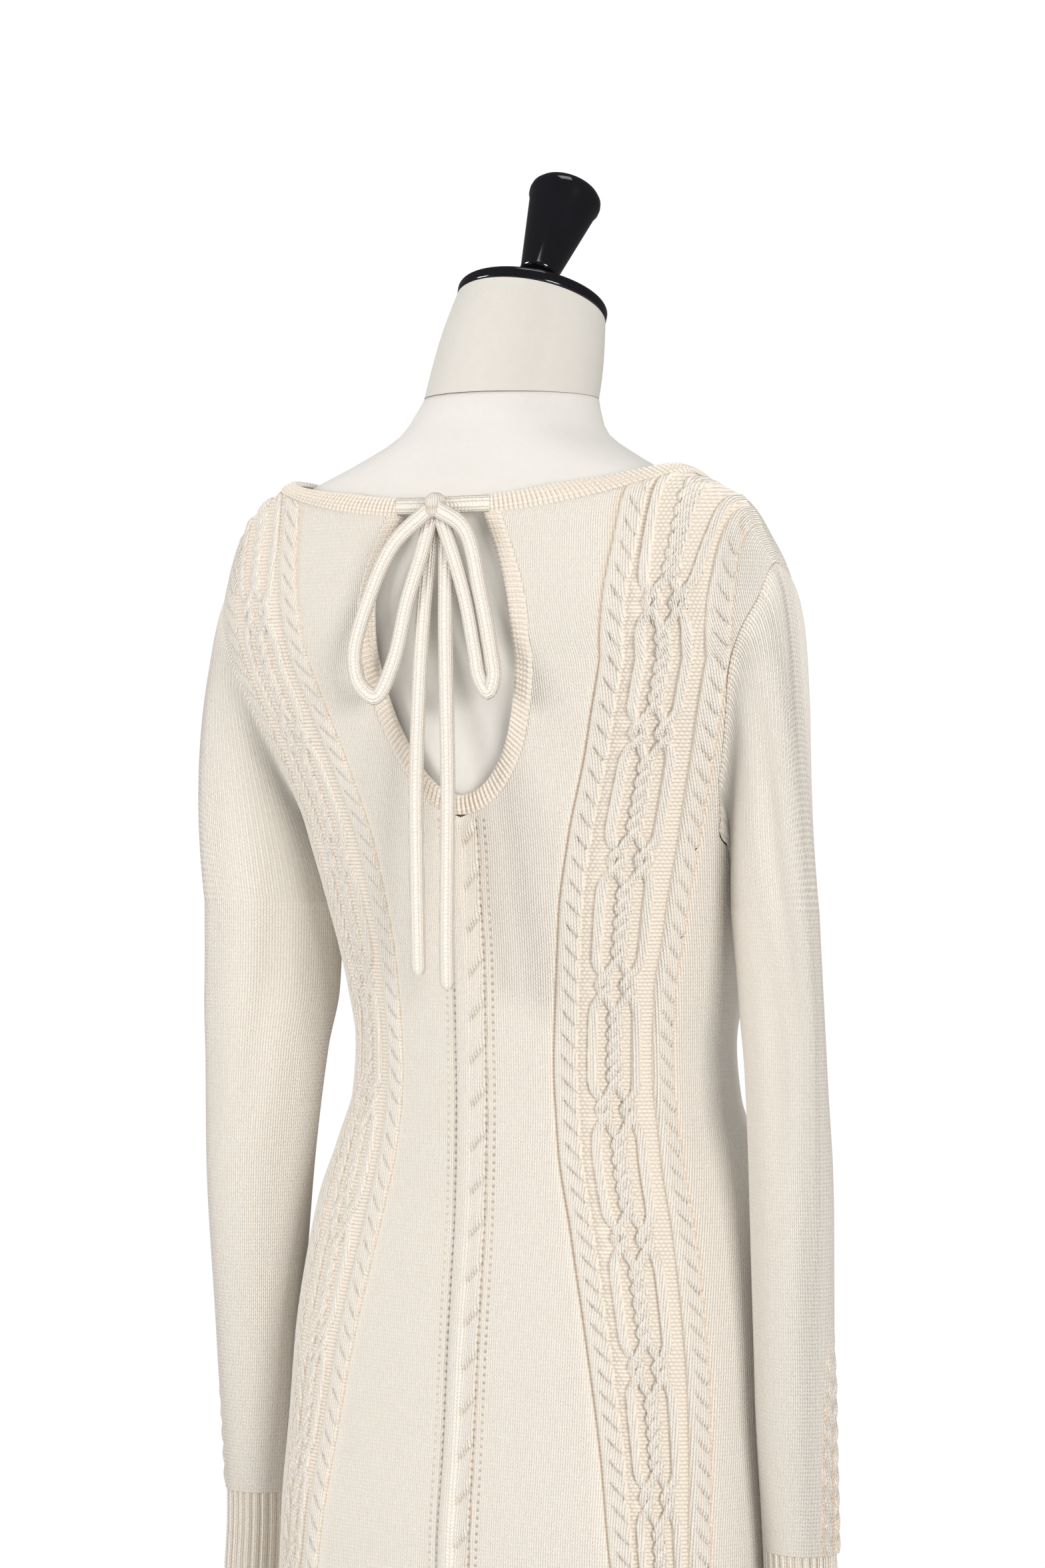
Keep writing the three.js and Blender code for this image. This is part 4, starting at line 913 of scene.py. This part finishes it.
def smooth_line(line):
    """Points every TIE_STEP mm on a smooth curve through the line, and its length."""
    points = np.array(line, float)
    points = np.concatenate([[2 * points[0] - points[1]], points, [2 * points[-1] - points[-2]]])
    found = []
    for i in range(1, len(points) - 2):
        a, b, c, d = points[i - 1:i + 3]
        gaps = [max(np.linalg.norm(q - p) ** 0.5, 1e-6) for p, q in ((a, b), (b, c), (c, d))]
        start = (b - a) / gaps[0] - (c - a) / (gaps[0] + gaps[1]) + (c - b) / gaps[1]
        end = (c - b) / gaps[1] - (d - b) / (gaps[1] + gaps[2]) + (d - c) / gaps[2]
        start, end = start * gaps[1], end * gaps[1]
        for u in np.arange(24) / 24:
            curve = (3 * (c - b) - 2 * start - end) * u**2 + (2 * (b - c) + start + end) * u**3
            found.append(b + start * u + curve)
    found = np.array(found + [points[-2]])
    along = distances(found)
    even = np.linspace(0, along[-1], round(along[-1] / TIE_STEP) + 1)
    return resample(found, along, even), along[-1]


def flat_tie(name, has_tip=False):
    centres, length = smooth_line(TIES[name])
    ahead = np.gradient(centres, axis=0)
    ahead /= np.linalg.norm(ahead, axis=1, keepdims=True)
    across = np.cross(ahead, (0, 1, 0))
    across /= np.linalg.norm(across, axis=1, keepdims=True)
    out = np.cross(across, ahead)
    angles = ring_angles(28) + pi / 28
    wide = np.sign(np.cos(angles)) * np.abs(np.cos(angles)) ** 0.7 * TIE_WIDTH / 2
    deep = np.sign(np.sin(angles)) * np.abs(np.sin(angles)) ** 0.5 * TIE_THICK / 2
    taper = np.ones(len(centres))
    if has_tip:
        taper[-3:] = (0.94, 0.82, 0.55)
    sides = across[:, None] * wide[:, None] + out[:, None] * deep[:, None]
    rings = centres[:, None] + sides * taper[:, None, None]
    uv = ring_pattern(angles, TIE_GIRTH, np.arange(len(centres)) * TIE_STEP)
    edge_shade = 0.3 * unit(np.abs(wide) / (TIE_WIDTH / 2) - 0.8) * 5
    shell = Shell()
    shell.tube(shell.add(rings, uv, edge_shade, is_ring=True))
    made = shell.piece("knit_" + name, knit)
    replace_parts(made, name)


flat_tie("tie_bridge_left")
flat_tie("tie_bridge_right")
flat_tie("bow_loop_left")
flat_tie("bow_loop_right")
flat_tie("tie_end_left", has_tip=True)
flat_tie("tie_end_right", has_tip=True)


# The knot of the bow: the strap wrapped once round the crossing of the loops, flattened against the back.
def knot():
    turns, rounds = np.linspace(0, pi, 25)[1:-1], ring_angles(40)
    turn, angle = np.meshgrid(turns, rounds, indexing="ij")
    fold = 1 - 0.1 * bell((np.cos(turn) * 8 + np.sin(angle) * 2.4 - 1) / 1.3)
    x = 7.6 * np.sin(turn) * np.cos(angle) * fold
    z = 1337 + 8 * np.sign(np.cos(turn)) * np.abs(np.cos(turn)) ** 0.8
    y = 129.5 + 6.2 * np.sin(turn) ** 0.8 * np.sin(angle) * fold
    uv = ring_pattern(rounds, 2 * TIE_GIRTH, turns * 8)
    shell = Shell()
    # The fold where the strap wraps round is painted darker, as painted shade.
    shell.tube(shell.add(grid_of(x, y, z), uv, unit((1 - fold) * 5), is_ring=True))
    made = shell.piece("knit_bow_knot", knit)
    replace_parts(made, "bow_knot")


knot()

# The dress form's body and neck: a padded shell under a stretched off-white linen cover, seamed where the
# neck meets the shoulders and closed by a smooth underside.
FORM_ROOM = table("z side gap", [
    [700, 2, 6], [900, 0, 4.5], [1100, 0, 4], [1127, 2, 4], [1183, 22, 4], [1240, 38, 4], [1280, 28, 4],
    [1300, 18, 3.9], [1315, 12, 4.5], [1338, 11, 5.5], [1355, 5, 4.6], [1374, 0, 2], [1395, 0, 0],
    [1429, 0, 0],
])
BARE_Z, THREAD = 1395, 0.75


def linen_finish(name, light, dark):
    """Plain linen weave in the piece's own pattern places."""
    made = Finish(name, 0.82, sheen_weight=0.15)
    uv, u, v = made.pattern()
    slub = made.noise(uv, 0.12, 3.0)
    u, v = u / THREAD, v / THREAD
    warp, weft = ((part * pi).math("SINE").math("ABSOLUTE") for part in (u, v))
    checker = (u.math("FLOOR") + v.math("FLOOR")).math("MODULO", 2.0).math("ABSOLUTE")
    weave = warp * checker + weft * (1 - checker)
    shade = (made.attribute("groove") + weave * -0.06 + 0.06).math("MAXIMUM", 0.0)
    made.feed("Base Color", made.blend(shade, made.blend(slub, dark, light), (0.55, 0.48, 0.38, 1)))
    made.bump(weave * 0.5 + slub, 0.12 * mm)
    return made


# The body and the neck wear one linen: the body's copy is painted lighter and the neck's darker, as painted
# light and painted shade.
body_linen_painted_lit = linen_finish("off_white_linen_painted_lit", (0.8, 0.77, 0.72, 1), (0.755, 0.725, 0.675, 1))
neck_linen_painted_shaded = linen_finish("off_white_neck_linen_painted_shaded", (0.69, 0.655, 0.595, 1), (0.645, 0.61, 0.55, 1))


def form_ring(z, angles, level_z=None):
    """A ring of the body at z, inside the dress there or at level_z; above BARE_Z the body is bare."""
    level = np.full(angles.shape, float(z if level_z is None else level_z))
    half = np.where(angles > pi, 2 * pi - angles, angles)
    room = lambda height: at(FORM_ROOM, "side", height)
    gap = (WALL + at(FORM_ROOM, "gap", level)) * unit((BARE_Z - level) / 10)
    point = body_point(half, level, room(level)) - body_normal(half, level, room) * gap[:, None]
    point[:, 0] *= np.where(angles > pi, -1, 1)
    point[:, 2] += z - level[0]
    return point


def stack(name, node, rings, finish, seam_rows, depth):
    """A closed form from rings of points, with a shaded seam on the given rows."""
    closed = np.concatenate([rings, rings[:, :1]], axis=1)
    around = np.array([distances(ring) for ring in closed])
    around = around / around[:, -1:] * around[:, -1].max()
    groove = np.zeros(rings.shape[:2])
    groove[seam_rows] = depth
    shell = Shell()
    shell.tube(shell.add(rings, grid_of(around, distances(rings)[:, None]), groove, is_ring=True), flip=True)
    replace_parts(shell.piece(name, finish), node)


angles = ring_angles(120)
UNDERSIDE_Z, SEAM_Z = 732, 1409
rows = []
for z, shrink in ((720, 0.84), (720.6, 0.88), (722, 0.925), (725, 0.965), (728, 0.985)):
    rows.append(form_ring(z, angles, UNDERSIDE_Z) * np.array([shrink, shrink, 1]))
heights = np.append(np.arange(UNDERSIDE_Z, 1400, 5.0), [1402, 1406, 1408.4, SEAM_Z])
rows += [form_ring(z, angles) for z in heights]
middle = np.append(rows[-1].mean(axis=0)[:2], 0)
for row, share in ((-2, 0.995), (-1, 0.985)):
    rows[row] = middle + (rows[row] - middle) * np.array([share, share, 1])
stack("padded_body", "form_body", np.array(rows), body_linen_painted_lit, slice(-2, None), 0.1)

NECK = [(42, 1409.15, 55, 0), (34.5, 1429, 53.5, 6), (28, 1446, 51.5, 12), (19, 1467, 48, 20)]
neck_rings = []
for share in np.linspace(0, 1, 28):
    place = share * 3
    k = min(int(place), 2)
    knots = [np.array(NECK[min(max(k + i, 0), 3)], float) for i in (-1, 0, 1, 2)]
    y, z, radius, tilt = between(*knots, place - k)
    tilt = radians(tilt)
    back = radius * np.cos(angles)
    neck_rings.append(grid_of(radius * np.sin(angles), y + back * cos(tilt), z + back * sin(tilt)))
stack("padded_neck", "form_neck", np.array(neck_rings), neck_linen_painted_shaded, 0, 0.15)


# The form's turned fittings: a black lacquered cap on the neck, with a collar and a flared knob that leans
# to the front, and below the body a steel pole in a weighted round foot.
def turned_finish(name, colour, roughness, coat, wear):
    made = Finish(name, 0.3, coat_weight=coat, coat_roughness=0.04)
    where = made.coordinates()
    marks = made.noise(where, 60.0, 4.0)
    made.feed("Roughness", marks * wear + roughness)
    lighter = tuple(min(1, c * 1.35) for c in colour[:3]) + (1,)
    made.feed("Base Color", made.blend(marks, colour, lighter))
    made.bump(made.noise(where, 400.0, 2.0), 0.01 * mm)
    return made


def turned(name, finish, slot, outline, edge=0.6, start=(0, 0, 0), tilt=0):
    """A turned piece with rounded edges; outline is (height, radius) along the axis from start, in mm."""
    axis = Vector((0, -sin(tilt), cos(tilt)))
    base = Vector(start) * mm
    bpy.ops.object.select_all(action="DESELECT")
    bpy.ops.mesh.primitive_circle_add(vertices=72, radius=outline[0][1] * mm, fill_type="NGON",
                                      location=base + axis * outline[0][0] * mm, rotation=(tilt, 0, 0))
    made = bpy.context.object
    made.name = "turned_" + name
    bpy.ops.object.mode_set(mode="EDIT")
    bpy.ops.mesh.select_mode(type="FACE")
    bpy.ops.mesh.select_all(action="SELECT")
    for (low, r_low), (high, r_high) in zip(outline, outline[1:]):
        bpy.ops.mesh.extrude_region_move(TRANSFORM_OT_translate={"value": tuple(axis * (high - low) * mm)})
        centre = base + axis * high * mm
        bpy.ops.transform.resize(value=(r_high / r_low,) * 3, center_override=tuple(centre))
    bpy.ops.mesh.select_all(action="SELECT")
    bpy.ops.mesh.normals_make_consistent(inside=False)
    bpy.ops.object.mode_set(mode="OBJECT")
    bpy.ops.object.transform_apply(location=True, rotation=True, scale=True)
    bevel = made.modifiers.new("soft_edges", "BEVEL")
    bevel.width = edge * mm
    bevel.segments = 3
    bevel.limit_method = "ANGLE"
    bevel.angle_limit = radians(28)
    bpy.ops.object.modifier_apply(modifier=bevel.name)
    bpy.ops.object.shade_smooth_by_angle(angle=radians(35))
    made.data.materials.clear()
    made.data.materials.append(finish.material)
    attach(made, "root")
    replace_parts(made, name)


lacquer = turned_finish("black_lacquer", (0.006, 0.006, 0.008, 1), 0.1, 1.0, 0.06)
steel = turned_finish("black_painted_steel", (0.02, 0.02, 0.022, 1), 0.34, 0.2, 0.18)
lean = radians(20)
knob_lean = radians(32)
neck_top = (0, 19, 1467)
turned("form_cap", lacquer, "gloss_black", [
    (0.35, 46.5), (1.2, 48), (6.4, 48.2), (7.8, 47.4), (8.6, 45.5), (9, 42)], start=neck_top, tilt=lean)
turned("form_collar", lacquer, "gloss_black", [
    (9.35, 12), (9.8, 13.6), (11.5, 14.5), (14, 14.8), (17, 14.2), (19.5, 13), (21.5, 11.6), (24.2, 10)],
    0.4, neck_top, lean)
knob = (0, 19 - 25 * sin(lean), 1467 + 25 * cos(lean))
turned("form_finial", lacquer, "gloss_black", [
    (0.35, 11.8), (1.5, 12.6), (4, 12.6), (57, 22.2), (59.5, 23.4), (62, 23.6), (64.6, 23.1), (66.8, 21.4),
    (68.2, 18.4), (69, 13)], 0.5, knob, knob_lean)
turned("form_pole", steel, "painted_metal", [
    (50.35, 14.4), (51, 15), (690, 15), (691, 25), (692, 26), (719, 26), (719.65, 25.4)], 0.5)
turned("form_base", steel, "painted_metal", [
    (0, 166), (1, 168.5), (3, 170), (9, 170), (11.6, 168.4), (13, 166), (24, 60), (26.5, 42), (31, 28),
    (40, 25), (50, 24)], 0.8)
